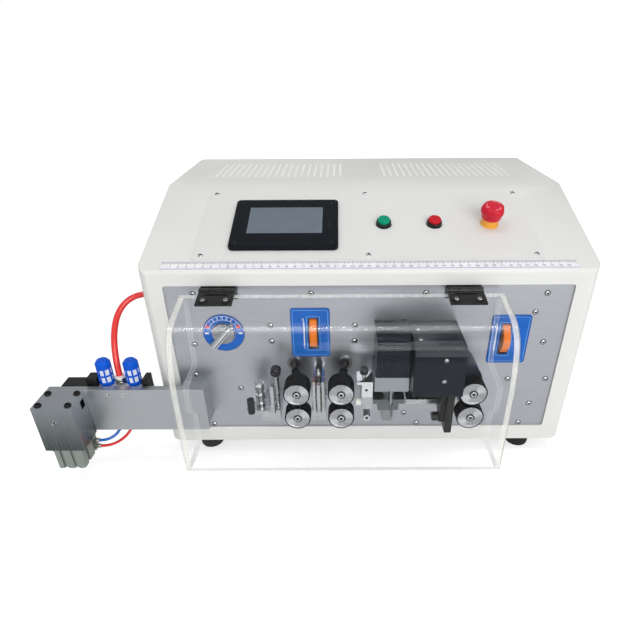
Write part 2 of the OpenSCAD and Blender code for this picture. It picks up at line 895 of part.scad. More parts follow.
module lower_hub_1() {
    color("lightgray") placed() driven_hub(feed_x[0], lower_z, feed_d, motor_reach);
}

module lower_hub_2() {
    color("lightgray") placed() driven_hub(feed_x[1], lower_z, feed_d, motor_reach);
}

module outfeed_hub_lower() {
    color("lightgray") placed() driven_hub(out_x, lower_z, out_d, motor_reach);
}

module outfeed_hub_upper() {
    color("lightgray") placed() driven_hub(out_x, upper_z, out_d, 10);
}

module upper_hub_1() {
    color("lightgray") placed() socket_hub(feed_x[0], upper_z);
}

module upper_hub_2() {
    color("lightgray") placed() socket_hub(feed_x[1], upper_z);
}

module lower_tyre_1() {
    color([0.1, 0.1, 0.1]) placed() plain_tyre(feed_x[0], lower_z, feed_d);
}

module lower_tyre_2() {
    color([0.1, 0.1, 0.1]) placed() plain_tyre(feed_x[1], lower_z, feed_d);
}

module upper_tyre_1() {
    color([0.1, 0.1, 0.1]) placed() domed_tyre(feed_x[0], upper_z);
}

module upper_tyre_2() {
    color([0.1, 0.1, 0.1]) placed() domed_tyre(feed_x[1], upper_z);
}

module outfeed_tyre_lower() {
    color([0.1, 0.1, 0.1]) placed() plain_tyre(out_x, lower_z, out_d);
}

module outfeed_tyre_upper() {
    color([0.1, 0.1, 0.1]) placed() plain_tyre(out_x, upper_z, out_d);
}

// Ball-ended shaft from an upper feed roller to its cup in the plate
module tilted_shaft(i) {
    from = [feed_x[i], roller_y + tyre_len + ball_seat, upper_z];
    to = [feed_x[i] + feed_lean[i], plate_y - 3, cup_z];
    way = to - from;
    len = norm(way);
    translate(from) rotate([0, acos(way.z / len), atan2(way.y, way.x)]) {
        sphere(ball_r);
        cylinder(h = len, r = link_r);
        translate([0, 0, 8]) cylinder(h = len - 16, r = link_r + 1.6);
        translate([0, 0, len]) sphere(ball_r);
    }
}

module drive_shaft_1() {
    color("dimgray") placed() tilted_shaft(0);
}

module drive_shaft_2() {
    color("dimgray") placed() tilted_shaft(1);
}

// Wire guides on the plate
module inlet_guide() {
    seat = inlet_z + inlet_h - 1;
    slab(inlet_x[1], inlet_x[2], blade_front, plate_y, inlet_z, inlet_z + inlet_h);
    slab(inlet_x[0], inlet_x[2], blade_front, wire_y + 14, inlet_z + inlet_h - shelf_h, inlet_z + inlet_h);
    rod_z(guide_pin_x, wire_y - 9, seat, wire_z + 32, guide_pin_r);
    rod_z(eyelet_x, wire_y + 9, seat, eyelet_z - eyelet_bore_r - 1, guide_pin_r);
    difference() {
        rod_y(eyelet_x, eyelet_z, wire_y + 8 - guide_pin_r, wire_y + 10 + guide_pin_r, eyelet_r);
        rod_y(eyelet_x, eyelet_z, wire_y, wire_y + 20, eyelet_bore_r);
    }
    rod_z(guide_post_x[0], wire_y - 8.5, seat, wire_z + 10, guide_post_r);
    rod_z(guide_post_x[1], wire_y + 8.5, seat, wire_z + 25, guide_post_r);
}

module middle_guide() {
    seat = middle_z + middle_h - 1;
    slab(middle_x[0], middle_x[1], blade_front, plate_y, middle_z, middle_z + middle_h);
    for (x = [middle_x[0] + 2, middle_x[1] - 2 - middle_plate_t])
        slab(x, x + middle_plate_t, wire_y - 6, plate_y, seat, middle_plate_z);
    slab(middle_x[0] + 4, middle_x[1] - 4, wire_y + 12, plate_y, seat, wire_z + 22);
    rod_z(dowel_x, wire_y - 7, seat, wire_z + 32, guide_pin_r);
    rod_z(dowel_x, wire_y + 8, seat, dowel_z, guide_pin_r);
    translate([dowel_x, wire_y + 8, dowel_z]) cylinder(h = dowel_tip, r1 = guide_pin_r, r2 = 0.5);
}

module wire_guides() {
    color("silver") placed() {
        inlet_guide();
        difference() {
            middle_guide();
            rod_x(wire_y, wire_z, middle_x[0] - 1, middle_x[1] + 1, guide_bore_r);
        }
        slab(ledge_x[0], ledge_x[1], ledge_front, plate_y, lower_top - ledge_t, lower_top);
    }
}

module blade_guide() {
    back = wire_y + 16;
    color("lightgray") placed() difference() {
        union() {
            slab(nose_x[0], nose_x[1], blade_front, plate_y, nose_low, nose_mid);
            slab(nose_x[0], nose_x[1], blade_front - 2, back, nose_mid, nose_top);
            slab(nose_x[0] + 2, nose_x[1] - 2, blade_front + 14, plate_y, nose_leg, nose_low + 1);
            slab(nose_x[0] - 6, nose_x[1], blade_front - 2, back, nose_top, nose_top + nose_cap);
            rod_x(wire_y, wire_z, nose_x[0] - 7, nose_x[0] + 1, nose_bush_r);
            rod_z(nose_bolt_x, wire_y, nose_top, nose_bolt_top - 1, nose_bolt_r);
            rod_z(nose_bolt_x, wire_y, nose_bolt_top - 8, nose_bolt_top, 2 * nose_bolt_r);
            rod_y(thumb_x, thumb_z, blade_front - 7, blade_front + 16, 4.4);
        }
        rod_x(wire_y, wire_z, nose_x[0] - 8, nose_x[1] + 1, guide_bore_r);
    }
}

// Sheet-metal box with a round front edge, open at the back and below
module hood_profile(inset) {
    front = hood_front + inset;
    top = hood_top - inset;
    low = hood_low - inset;
    back = plate_y + inset;
    r = hood_r - inset;
    translate([front, low]) square([back - front, top - r - low]);
    translate([front + r, low]) square([back - front - r, top - low]);
    translate([front + r, top - r]) circle(r);
}

module blade_cover() {
    color([0.1, 0.11, 0.13]) placed() difference() {
        across(hood_x[0], hood_x[1]) hood_profile(0);
        across(hood_x[0] + hood_t, hood_x[1] - hood_t) hood_profile(hood_t);
    }
}

// Sheet-metal box with a slanting front edge, open at the back and below
module housing_profile(inset) {
    front = housing_front + inset;
    top = housing_top - inset;
    low = housing_low - inset;
    back = plate_y + inset;
    polygon([
        [front, low], [back, low], [back, top],
        [front + housing_cut.x, top], [front, top - housing_cut.y]
    ]);
}

module outfeed_housing() {
    color([0.1, 0.11, 0.13]) placed() {
        difference() {
            across(housing_x[0], housing_x[1]) housing_profile(0);
            across(housing_x[0] + hood_t, housing_x[1] - hood_t) housing_profile(hood_t);
        }
        difference() {
            intersection() {
                rod_y(guard_at.x, guard_at.y, guard_front, plate_y, guard_r);
                slab(housing_x[1], out_x + 40, guard_front - 1, plate_y + 1, housing_low, housing_top);
            }
            rod_y(out_x, upper_z, guard_front - 1, plate_y + 1, guard_in);
        }
    }
}

module blade_rail() {
    color("gray") placed() translate([0, 0, rail_z0]) linear_extrude(rail_z1 - rail_z0)
        translate([rail_x, plate_y]) polygon([
            [-rail_w / 2, 0], [-rail_w / 2, -4], [-rail_w / 2 + 2, -5], [-rail_w / 2, -6],
            [-rail_w / 2, -rail_d], [rail_w / 2, -rail_d], [rail_w / 2, -6], [rail_w / 2 - 2, -5],
            [rail_w / 2, -4], [rail_w / 2, 0]
        ]);
}

module rail_slot(z0, z1) {
    x = rail_w / 2 + run_fit;
    slab(rail_x - x, rail_x + x, plate_y - rail_d - run_fit, plate_y + 1, z0, z1);
}

module blade_plate(x, low, high) {
    slab(x, x + blade_t, wire_y - blade_half, wire_y + blade_half, low, high);
}

// Vee that a blade cuts with, its apex at z and its mouth above (1) or below (-1)
module blade_vee(z, side) {
    mouth = z + side * (blade_notch + 1);
    across(rail_x - 2 * blade_t, rail_x + 2 * blade_t)
        polygon([[wire_y - notch_half, mouth], [wire_y, z], [wire_y + notch_half, mouth]]);
}

module upper_blade() {
    color("lightgray") placed() {
        difference() {
            union() {
                slab(holder_x[0], holder_x[1], blade_front, plate_y - 1, upper_low, upper_mid);
                slab(hood_x[0] + 5, hood_x[1] - 5, blade_front, plate_y - 1, upper_mid, upper_top);
            }
            rail_slot(upper_low - 1, upper_top + 1);
        }
        difference() {
            blade_plate(rail_x - blade_t - pass_fit / 2, wire_z + blade_gap - blade_notch, upper_low + 1);
            blade_vee(wire_z + blade_gap, -1);
        }
    }
}

module lower_blade() {
    low = lower_top - ledge_t;
    x = rail_x + pass_fit / 2;
    color("lightgray") placed() {
        difference() {
            union() {
                slab(holder_x[0] + 1, holder_x[1], ledge_front, plate_y - 1, low, lower_top);
                slab(rail_x - rail_w, rail_x + rail_w, ledge_front + 8, plate_y - 1, lower_low, lower_top);
            }
            rail_slot(lower_low - 1, lower_top + 1);
        }
        difference() {
            union() {
                blade_plate(x, low, wire_z - blade_gap + blade_notch);
                slab(x, x + blade_t, wire_y, ledge_front + 6, low, lower_top);
            }
            blade_vee(wire_z - blade_gap, 1);
        }
    }
}

module outlet_guide() {
    foot = outlet_low - 1;
    color([0.15, 0.15, 0.15]) placed() difference() {
        union() {
            slab(outlet_x[1] - 1, outlet_x[2], blade_front - 6, plate_y, outlet_low, outlet_top);
            slab(outlet_x[0], outlet_x[1], blade_front, blade_front + 14, outlet_low + 13, outlet_top);
            rod_x(blade_front + 7, wire_z - 26, outlet_x[0] - 8, outlet_x[0] + 1, 6);
        }
        across(outlet_x[0] - 2, outlet_x[2] + 2)
            polygon([[blade_front + 8, foot], [plate_y - 8, foot], [plate_y - 8, wire_z - 20]]);
        rod_x(wire_y, wire_z, outlet_x[0] - 2, outlet_x[2] + 2, guide_bore_r + 0.5);
    }
}

// Hinges of the clear cover
module knuckle(x0, x1) {
    rod_x(hinge_y, hinge_z, x0, x1, hinge_r);
}

module pin_bore(x) {
    rod_x(hinge_y, hinge_z, x - hinge_w, x + hinge_w, hinge_pin_r + run_fit);
}

module fixed_hinge_leaves() {
    mid = hinge_knuckle / 2 + pass_fit;
    color("black") placed() for (x = hinge_x) {
        difference() {
            union() {
                slab(x - hinge_w / 2, x + hinge_w / 2, plate_y - hinge_leaf_t, plate_y,
                    hinge_z - 14, hinge_z + 3);
                for (s = [-1, 1]) {
                    x0 = min(s * mid, s * hinge_w / 2);
                    x1 = max(s * mid, s * hinge_w / 2);
                    knuckle(x + x0, x + x1);
                    slab(x + x0, x + x1, hinge_y, plate_y - 1, hinge_z - hinge_r, hinge_z);
                }
            }
            pin_bore(x);
        }
        rod_x(hinge_y, hinge_z, x - hinge_w / 2, x + hinge_w / 2, hinge_pin_r);
    }
}

// Outline drawn along the cover's top, from the hinge's axis forward
module along_top() {
    translate([hinge_y, hinge_z]) rotate(top_deg) children();
}

module moving_hinge_leaves() {
    clear = hinge_r + 0.6;
    tongue = hinge_leaf_t - 0.6;
    color("black") placed() for (x = hinge_x) difference() {
        union() {
            across(x - hinge_w / 2, x + hinge_w / 2) along_top()
                translate([-hinge_leaf_len, -lift]) square([hinge_leaf_len - clear, hinge_leaf_t]);
            across(x - hinge_knuckle / 2, x + hinge_knuckle / 2) along_top() {
                circle(hinge_r);
                translate([-clear - 1, -tongue / 2]) square([clear + 1, tongue]);
            }
        }
        pin_bore(x);
    }
}

// Bent stretch of the clear sheet between two directions of its face
module bend(c, r, a0, a1) {
    far = 2 * r;
    translate(c) difference() {
        intersection() {
            circle(r);
            polygon([[0, 0], far * [-sin(a0), cos(a0)], far * [-sin(a1), cos(a1)]]);
        }
        circle(r - cover_t);
    }
}

module cover_profile() {
    back = sheet_back / cos(top_deg);
    run = top_run / cos(top_deg);
    along_top() translate([-run, -lift - cover_t]) square([run - back, cover_t]);
    bend(crown_c, crown_r, top_deg, brow_deg);
    bend(brow_c, brow_r, brow_deg, 90);
    translate([brow_end.x, cover_z]) square([cover_t, brow_end.y - cover_z]);
}

// Point inside the bent sheet, where a side panel is let into it
function in_sheet(c, r, a) = c + (r - panel_sink) * [-sin(a), cos(a)];

module cover_side(x0) {
    mid_deg = (top_deg + brow_deg) / 2;
    back = in_sheet(crown_c, crown_r, top_deg) + (top_run - sheet_back - 3) * [1, tan(top_deg)];
    front = brow_end + [panel_sink, 0];
    across(x0, x0 + cover_side_t) polygon([
        back, in_sheet(crown_c, crown_r, top_deg), in_sheet(crown_c, crown_r, mid_deg),
        in_sheet(crown_c, crown_r, brow_deg), front, [front.x, cover_z + 1], [leg_y, cover_z + 1],
        [leg_y, notch_low - 4], [leg_y - 4, notch_low], [notch_y + 6, notch_low + 2],
        [notch_y, notch_low + 10], [notch_y, notch_high - 3], [notch_y + 3, notch_high],
        [plate_y - 12, notch_high + 5], [plate_y - 5, hinge_z - 18], [plate_y - 6, hinge_z - 12]
    ]);
}

module front_cover() {
    x0 = cover_x - cover_w / 2;
    x1 = cover_x + cover_w / 2;
    color([0.85, 0.9, 0.95, 0.4]) placed() {
        across(x0, x1) cover_profile();
        cover_side(x0 + panel_inset);
        cover_side(x1 - panel_inset - cover_side_t);
    }
}

// Infeed arm with its stand-off, and the wire clamp at its end
module infeed_arm() {
    color("darkgray") placed() {
        slab(arm_x0, arm_x1, arm_front, arm_back, arm_low, arm_top);
        slab(arm_x1 - standoff_w, arm_x1, arm_back - 1, plate_y, arm_low + 5, arm_top - 5);
    }
}

module clamp_body() {
    color("gray") placed() difference() {
        slab(clamp_x0, clamp_x1, clamp_front, arm_front, clamp_low, arm_top);
        slab(clamp_x0 - 1, clamp_x1 + 1, wire_y - channel_w / 2, wire_y + channel_w / 2,
            channel_z0, channel_z1);
        rod_z(clamp_xm, wire_y, clamp_low - 1, channel_z0 + 1, jaw_r + run_fit);
        rod_y(clamp_xm - 2, arm_top - 23, clamp_front - 1, clamp_front + 3, 3.5);
    }
}

module clamp_jaw() {
    color("silver") placed() rod_z(clamp_xm, wire_y, cyl_z0 + 16, channel_z0 - 0.5, jaw_r);
}

module clamp_cylinder() {
    color("darkseagreen") placed() difference() {
        translate([clamp_xm, cyl_ym, cyl_z0]) linear_extrude(cyl_h) difference() {
            round_rect(cyl_w, cyl_d, 3.5);
            for (s = [-1, 1], t = [-1, 1]) {
                translate([s * 7 - 2.5, t * cyl_d / 2 - 2]) square([5, 4]);
                translate([t * cyl_w / 2 - 2, s * 9 - 2.5]) square([4, 5]);
            }
        }
        rod_z(clamp_xm, wire_y, cyl_z0 + 8, clamp_low + 1, jaw_r + run_fit);
        for (z = port_z)
            rod_x(port_y, z, cyl_side - port_depth, cyl_side + 1, work_k * thread_r + run_fit);
    }
}

module valve_body() {
    color("silver") placed() difference() {
        slab(valve_x0, valve_x1, valve_y0, valve_y0 + valve_d, valve_z0, valve_z1);
        for (x = [silencer_x[0], supply_x, silencer_x[1]])
            rod_z(x, valve_ym, valve_z1 - port_depth, valve_z1 + 1, thread_r + run_fit);
        for (x = work_x) rod_z(x, valve_ym, valve_z0 - 1, valve_z0 + port_depth, work_k * thread_r + run_fit);
        for (x = [valve_x0 + 18, valve_x1 - 18])
            slab(x - 1, x + 1, valve_y0 - 1, valve_y0 + 2, valve_z0 - 1, valve_z1 + 1);
    }
}

module valve_coil() {
    color([0.1, 0.1, 0.1]) placed() {
        slab(valve_x0 - 34, valve_x0, valve_y0 + 1, valve_y0 + valve_d - 1, valve_z0 + 2, valve_z1 + 4);
        slab(valve_x0 - 1, valve_x0 + 13, valve_y0 + 3, valve_y0 + valve_d - 3, valve_z1, valve_z1 + 13);
        slab(valve_x1, valve_x1 + 7, valve_y0 + 1, valve_y0 + valve_d - 1, valve_z0 + 1, valve_z1 + 11);
    }
}

module silencers() {
    slots = 8;
    color("dodgerblue") placed() for (x = silencer_x) translate([x, valve_ym, valve_z1]) {
        translate([0, 0, -thread_len]) cylinder(h = thread_len + 1, r = thread_r);
        cylinder(h = 4, r = silencer_r - 1, $fn = 6);
        difference() {
            union() {
                translate([0, 0, 4]) cylinder(h = silencer_h - 8, r = silencer_r);
                translate([0, 0, silencer_h - 4]) cylinder(h = 4, r1 = silencer_r, r2 = silencer_r - 3);
            }
            for (i = [0 : slots - 1], z = [6.5, 17.5])
                rotate([0, 0, i * 360 / slots]) translate([silencer_r - 1.5, -2.6, z]) cube([4, 5.2, 9]);
        }
    }
}

// Push-in fitting: threaded end, hexagon and release collar; local Z points at the tube
module push_fitting() {
    difference() {
        union() {
            translate([0, 0, -thread_len]) cylinder(h = thread_len + 1, r = thread_r);
            cylinder(h = 6, r = fitting_r + 1, $fn = 6);
            translate([0, 0, 6]) cylinder(h = 5, r = fitting_r);
            translate([0, 0, 11]) cylinder(h = fitting_h - 11, r = fitting_r - 1);
        }
        translate([0, 0, fitting_h - tube_sink - 1]) cylinder(h = tube_sink + 2, r = tube_r + run_fit);
    }
}

module air_fittings() {
    color("silver") placed() {
        translate([supply_x, valve_ym, valve_z1]) push_fitting();
        for (x = work_x) translate([x, valve_ym, valve_z0]) mirror([0, 0, 1]) scale(work_k) push_fitting();
        for (z = port_z) translate([cyl_side, port_y, z]) rotate([0, 90, 0]) scale(work_k) push_fitting();
        translate(bulk_end) rotate([0, -90, 0]) difference() {
            union() {
                translate([0, 0, -bulk_len]) cylinder(h = bulk_len + 1, r = fitting_r);
                cylinder(h = 6, r = fitting_r + 2, $fn = 6);
            }
            translate([0, 0, -1]) cylinder(h = bulk_len, r = tube_r + run_fit);
        }
    }
}

// Tube that leaves two fittings straight, with one curve between them;
// reach is the straight run and the pull of the curve at each end
tube_sides = 10;
tube_steps = 20;

function curve(a, b, c, d, t) =
    pow(1 - t, 3) * a + 3 * pow(1 - t, 2) * t * b + 3 * (1 - t) * t * t * c + t * t * t * d;
function unit(v) = v / norm(v);
function tangent(p, i) = unit(p[min(i + 1, len(p) - 1)] - p[max(i - 1, 0)]);

module tube(a, a_way, b, b_way, reach, r) {
    side = [0, 1, 0.3];
    a1 = a + reach[0] * a_way;
    b1 = b + reach[3] * b_way;
    bent = [for (k = [0 : tube_steps])
        curve(a1, a1 + reach[1] * a_way, b1 + reach[2] * b_way, b1, k / tube_steps)];
    p = concat([a], bent, [b]);
    n = len(p);
    rings = [for (i = [0 : n - 1]) let (t = tangent(p, i), u = unit(cross(t, side)), v = cross(u, t))
        [for (k = [0 : tube_sides - 1]) let (q = 360 * k / tube_sides)
            p[i] + r * (cos(q) * u + sin(q) * v)]];
    points = [for (ring = rings, q = ring) q];
    walls = [for (i = [0 : n - 2], k = [0 : tube_sides - 1]) let (m = (k + 1) % tube_sides)
        [i * tube_sides + k, i * tube_sides + m, (i + 1) * tube_sides + m, (i + 1) * tube_sides + k]];
    caps = [[for (k = [0 : tube_sides - 1]) tube_sides - 1 - k],
        [for (k = [0 : tube_sides - 1]) (n - 1) * tube_sides + k]];
    polyhedron(points, concat(walls, caps));
}

module supply_tube() {
    start = [supply_x, valve_ym, valve_z1 + fitting_h - tube_sink];
    color("red") placed() tube(start, [0, 0, 1], bulk_end, [-1, 0, 0], [10, 37, 64, 8], tube_r);
}

// Tube from a valve port to a clamp port
module work_tube(x, z, reach) {
    sunk = work_k * (fitting_h - tube_sink);
    top = [x, valve_ym, valve_z0 - sunk];
    port = [cyl_side + sunk, port_y, z];
    tube(top, [0, 0, -1], port, [1, 0, 0], reach, work_r);
}

module tube_blue() {
    color("royalblue") placed() work_tube(work_x[0], port_z[1], [6, 40, 19, 6]);
}

module tube_red() {
    color("red") placed() work_tube(work_x[1], port_z[0], [6, 37, 28, 6]);
}

cabinet_shell();
base_plate();
rear_panel();
feet();
control_panel();
plate_screws();
display_bezel();
display_glass();
button_bezels();
estop_collar();
front_plate();
fixed_hinge_leaves();
scale_plates();
wire_guides();
blade_guide();
blade_cover();
outfeed_housing();
blade_rail();
outlet_guide();
infeed_arm();
clamp_body();
clamp_cylinder();
valve_body();
valve_coil();
silencers();
air_fittings();
supply_tube();
tube_blue();
tube_red();
shaft_bearings();
drive_motors();
power_supply();
control_board();
power_inlet();
front_cover();
moving_hinge_leaves();
dial_knob();
feed_wheel();
outfeed_wheel();
start_button();
stop_button();
estop_stem();
estop_head();
clamp_jaw();
upper_blade();
lower_blade();
lower_hub_1();
lower_tyre_1();
upper_hub_1();
upper_tyre_1();
lower_hub_2();
lower_tyre_2();
upper_hub_2();
upper_tyre_2();
drive_shaft_1();
drive_shaft_2();
outfeed_hub_lower();
outfeed_tyre_lower();
outfeed_hub_upper();
outfeed_tyre_upper();
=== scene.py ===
"""Looks of a bench machine that feeds, cuts and strips wire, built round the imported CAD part."""

import json
import math

import bmesh
import bpy
from mathutils import Matrix, Vector

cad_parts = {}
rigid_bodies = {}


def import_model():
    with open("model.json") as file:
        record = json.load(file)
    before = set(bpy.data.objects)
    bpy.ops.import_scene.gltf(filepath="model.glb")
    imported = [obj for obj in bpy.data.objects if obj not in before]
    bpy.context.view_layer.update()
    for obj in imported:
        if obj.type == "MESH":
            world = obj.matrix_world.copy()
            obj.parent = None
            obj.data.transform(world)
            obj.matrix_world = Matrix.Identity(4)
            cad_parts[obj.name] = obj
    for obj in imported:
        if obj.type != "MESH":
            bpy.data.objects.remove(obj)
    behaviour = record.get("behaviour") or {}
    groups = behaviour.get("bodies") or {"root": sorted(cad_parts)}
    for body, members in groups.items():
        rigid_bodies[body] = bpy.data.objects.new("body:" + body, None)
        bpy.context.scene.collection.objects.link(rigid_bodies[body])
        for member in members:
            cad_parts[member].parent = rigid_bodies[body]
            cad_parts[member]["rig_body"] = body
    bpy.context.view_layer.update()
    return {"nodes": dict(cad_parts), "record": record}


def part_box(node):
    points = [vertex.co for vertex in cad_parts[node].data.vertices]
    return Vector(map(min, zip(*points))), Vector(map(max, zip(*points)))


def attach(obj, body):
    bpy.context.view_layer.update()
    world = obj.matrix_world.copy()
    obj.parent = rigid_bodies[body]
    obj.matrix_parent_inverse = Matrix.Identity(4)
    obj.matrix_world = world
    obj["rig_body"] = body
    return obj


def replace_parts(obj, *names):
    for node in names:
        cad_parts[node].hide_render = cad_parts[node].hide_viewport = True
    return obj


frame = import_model()
NODES = frame["nodes"]
SCENE = bpy.context.scene
SLOTS = {s["node"]: s["material_slot"] for s in frame["record"]["subparts"]}
MM = 0.001

# Places below are in millimetres: Y from the cabinet's front face, X from its middle, Z from the floor.
shell_low, shell_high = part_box("cabinet_shell")
ORIGIN = Vector(((shell_low.x + shell_high.x) / 2, shell_low.y, 0.0))
EDGE_Z = 284.0                                      # front edge of the sloping face
SLOPE = math.radians(20.0)
PLATE_Y = 2.2                                       # front plate's face
WIRE_Y, WIRE_Z = -37.8, 120.0                       # line the wire runs along
PANEL_T, LABEL_T = 1.5, 1.0                         # control panel; dial and scale plates
INK, THICK_INK = 0.06, 0.08                         # height of printed marks
DIAL_AT = (-184.0, 199.0)
DIAL_REST = math.radians(40.0)
POINTER_H = 16.0                                    # top of the pointer above the front plate
ESTOP_X, BUTTONS_X, BUTTONS_Q = 160.0, (22.0, 88.0), 88.0
SCREEN_X, SCREEN_Q, SCREEN_H = -105.7, 86.5, 7.5    # middle of the display, and its bezel's face
COVER_X, COVER_W = -32.5, 390.0                     # middle and width of the clear cover
COVER_FRONT, COVER_FOOT = -94.0, 57.0
HINGE_Y, HINGE_Z, HINGES_X = -7.5, 262.0, (-182.5, 114.5)
HINGE_LEAN = 12.0                                   # fall of the cover's top, in degrees
VALVE_X, VALVE_Y = -327.0, -5.8
INLET_X, BACK_Y = -200.0, 366.0                     # mains inlet, and the rear panel's face
HUBS = ("lower_hub_1", "upper_hub_1", "lower_hub_2", "upper_hub_2", "outfeed_hub_lower", "outfeed_hub_upper")
FORWARD = Matrix.Rotation(math.pi / 2, 4, "X")      # turns local Z to the front
BACKWARD = Matrix.Rotation(-math.pi / 2, 4, "X")


def at(x, y, z):
    """Row-frame point, in metres, of a place on the machine."""
    return ORIGIN + Vector((x, y, z)) * MM


def placed(x, y, z, turn=Matrix()):
    """Matrix that lays millimetre shapes at a place on the machine."""
    return Matrix.Translation(at(x, y, z)) @ turn.to_4x4() @ Matrix.Scale(MM, 4)


def on_slope(x=0.0, q=0.0, h=0.0):
    """Frame on the sloping face: X across, Y up the slope, Z out of it."""
    y = q * math.cos(SLOPE) - h * math.sin(SLOPE)
    z = EDGE_Z + q * math.sin(SLOPE) + h * math.cos(SLOPE)
    return placed(x, y, z, Matrix.Rotation(SLOPE, 4, "X"))


def on_plate(x=0.0, z=0.0, h=0.0):
    """Frame on the front plate: X across, Y up, Z out towards the front."""
    return placed(x, PLATE_Y - h, z, FORWARD)


# ---------------------------------------------------------------- materials


def tone(r, g, b):
    """Linear colour from 8-bit sRGB values."""
    def lin(c):
        c /= 255.0
        return c / 12.92 if c <= 0.04045 else ((c + 0.055) / 1.055) ** 2.4
    return (lin(r), lin(g), lin(b), 1.0)


def shade(colour, k):
    return tuple(min(1.0, c * k) for c in colour[:3]) + (1.0,)


class Finish:
    """Procedural material round one Principled shader."""

    def __init__(self, name, colour, rough, metal=0.0, **sockets):
        self.mat = bpy.data.materials.new(name)
        self.mat.use_nodes = True
        self.tree = self.mat.node_tree
        self.bsdf = self.tree.nodes["Principled BSDF"]
        self.set("Base Color", colour)
        self.set("Roughness", rough)
        self.set("Metallic", metal)
        for key, value in sockets.items():
            self.set(key.replace("_", " "), value)

    def set(self, socket, value):
        if isinstance(value, bpy.types.NodeSocket):
            self.tree.links.new(value, self.bsdf.inputs[socket])
        else:
            self.bsdf.inputs[socket].default_value = value

    def node(self, kind, inputs=(), **settings):
        n = self.tree.nodes.new(kind)
        for key, value in settings.items():
            setattr(n, key, value)
        for key, value in dict(inputs).items():
            if isinstance(value, bpy.types.NodeSocket):
                self.tree.links.new(value, n.inputs[key])
            else:
                n.inputs[key].default_value = value
        return n

    def coords(self, scale=(1, 1, 1)):
        c = self.node("ShaderNodeTexCoord").outputs["Object"]
        return self.node("ShaderNodeMapping", {"Vector": c, "Scale": scale}).outputs[0]

    def noise(self, scale, detail=3.0, rough=0.5, stretch=(1, 1, 1)):
        return self.node("ShaderNodeTexNoise", {
            "Vector": self.coords(stretch), "Scale": scale, "Detail": detail,
            "Roughness": rough}).outputs["Fac"]

    def span(self, fac, low, high, from_low=0.3, from_high=0.7):
        return self.node("ShaderNodeMapRange", {
            "Value": fac, "From Min": from_low, "From Max": from_high,
            "To Min": low, "To Max": high}).outputs[0]

    def blend(self, fac, a, b):
        n = self.node("ShaderNodeMix", data_type="RGBA")
        for key, value in ((0, fac), (6, a), (7, b)):
            if isinstance(value, bpy.types.NodeSocket):
                self.tree.links.new(value, n.inputs[key])
            else:
                n.inputs[key].default_value = value
        return n.outputs[2]

    def math(self, kind, a, b=0.0):
        return self.node("ShaderNodeMath", {0: a, 1: b}, operation=kind).outputs[0]

    def bump(self, height, strength, distance):
        return self.node("ShaderNodeBump", {
            "Height": height, "Strength": strength, "Distance": distance}).outputs[0]

    def edges(self, radius):
        """0 on flats, rising to 1 along edges."""
        soft = self.node("ShaderNodeBevel", {"Radius": radius}, samples=4).outputs[0]
        hard = self.node("ShaderNodeNewGeometry").outputs["Normal"]
        dot = self.node("ShaderNodeVectorMath", {0: soft, 1: hard}, operation="DOT_PRODUCT").outputs["Value"]
        return self.span(dot, 1.0, 0.0, 0.80, 0.985)


def painted(name, colour, rough, peel=0.06, grain=850.0, **sockets):
    """Sprayed or powder paint: orange peel, faint patchiness, rubbed edges."""
    f = Finish(name, colour, rough, **sockets)
    patch = f.span(f.noise(7.0, 4.0), 0.0, 1.0)
    base = f.blend(patch, shade(colour, 0.965), shade(colour, 1.015))
    rub = f.math("MULTIPLY", f.edges(0.0012), f.span(f.noise(160.0), 0.0, 0.5))
    f.set("Base Color", f.blend(rub, base, shade(colour, 1.12)))
    f.set("Roughness", f.span(f.noise(38.0, 5.0), rough - 0.06, rough + 0.07))
    f.set("Normal", f.bump(f.noise(grain, 2.0), peel, 0.0006))
    return f.mat


def brushed(name, colour, rough, along=(0.02, 1, 1), fine=1500.0, depth=0.12, aniso=0.35, tint=0.10):
    """Brushed or milled metal: fine scratches along one way, soft smears across them, and a painted highlight
    that lightens the colour along the edges.
    """
    f = Finish(name, colour, rough, 1.0, Anisotropic=aniso)
    lines = f.noise(fine, 3.0, 0.6, along)
    smear = f.noise(9.0, 4.0, 0.55)
    base = f.blend(f.span(lines, 0.0, 1.0), shade(colour, 1.0 - tint), shade(colour, 1.0 + tint))
    base = f.blend(f.span(smear, 0.0, 0.35), base, shade(colour, 0.90))
    # Painted highlight: the colour lightens along the edges.
    f.set("Base Color", f.blend(f.math("MULTIPLY", f.edges(0.0006), 0.5), base, shade(colour, 1.3)))
    worn = f.math("ADD", f.span(lines, -0.05, 0.05), f.span(smear, rough - 0.05, rough + 0.06))
    f.set("Roughness", worn)
    f.set("Normal", f.bump(lines, depth, 0.0002))
    return f.mat


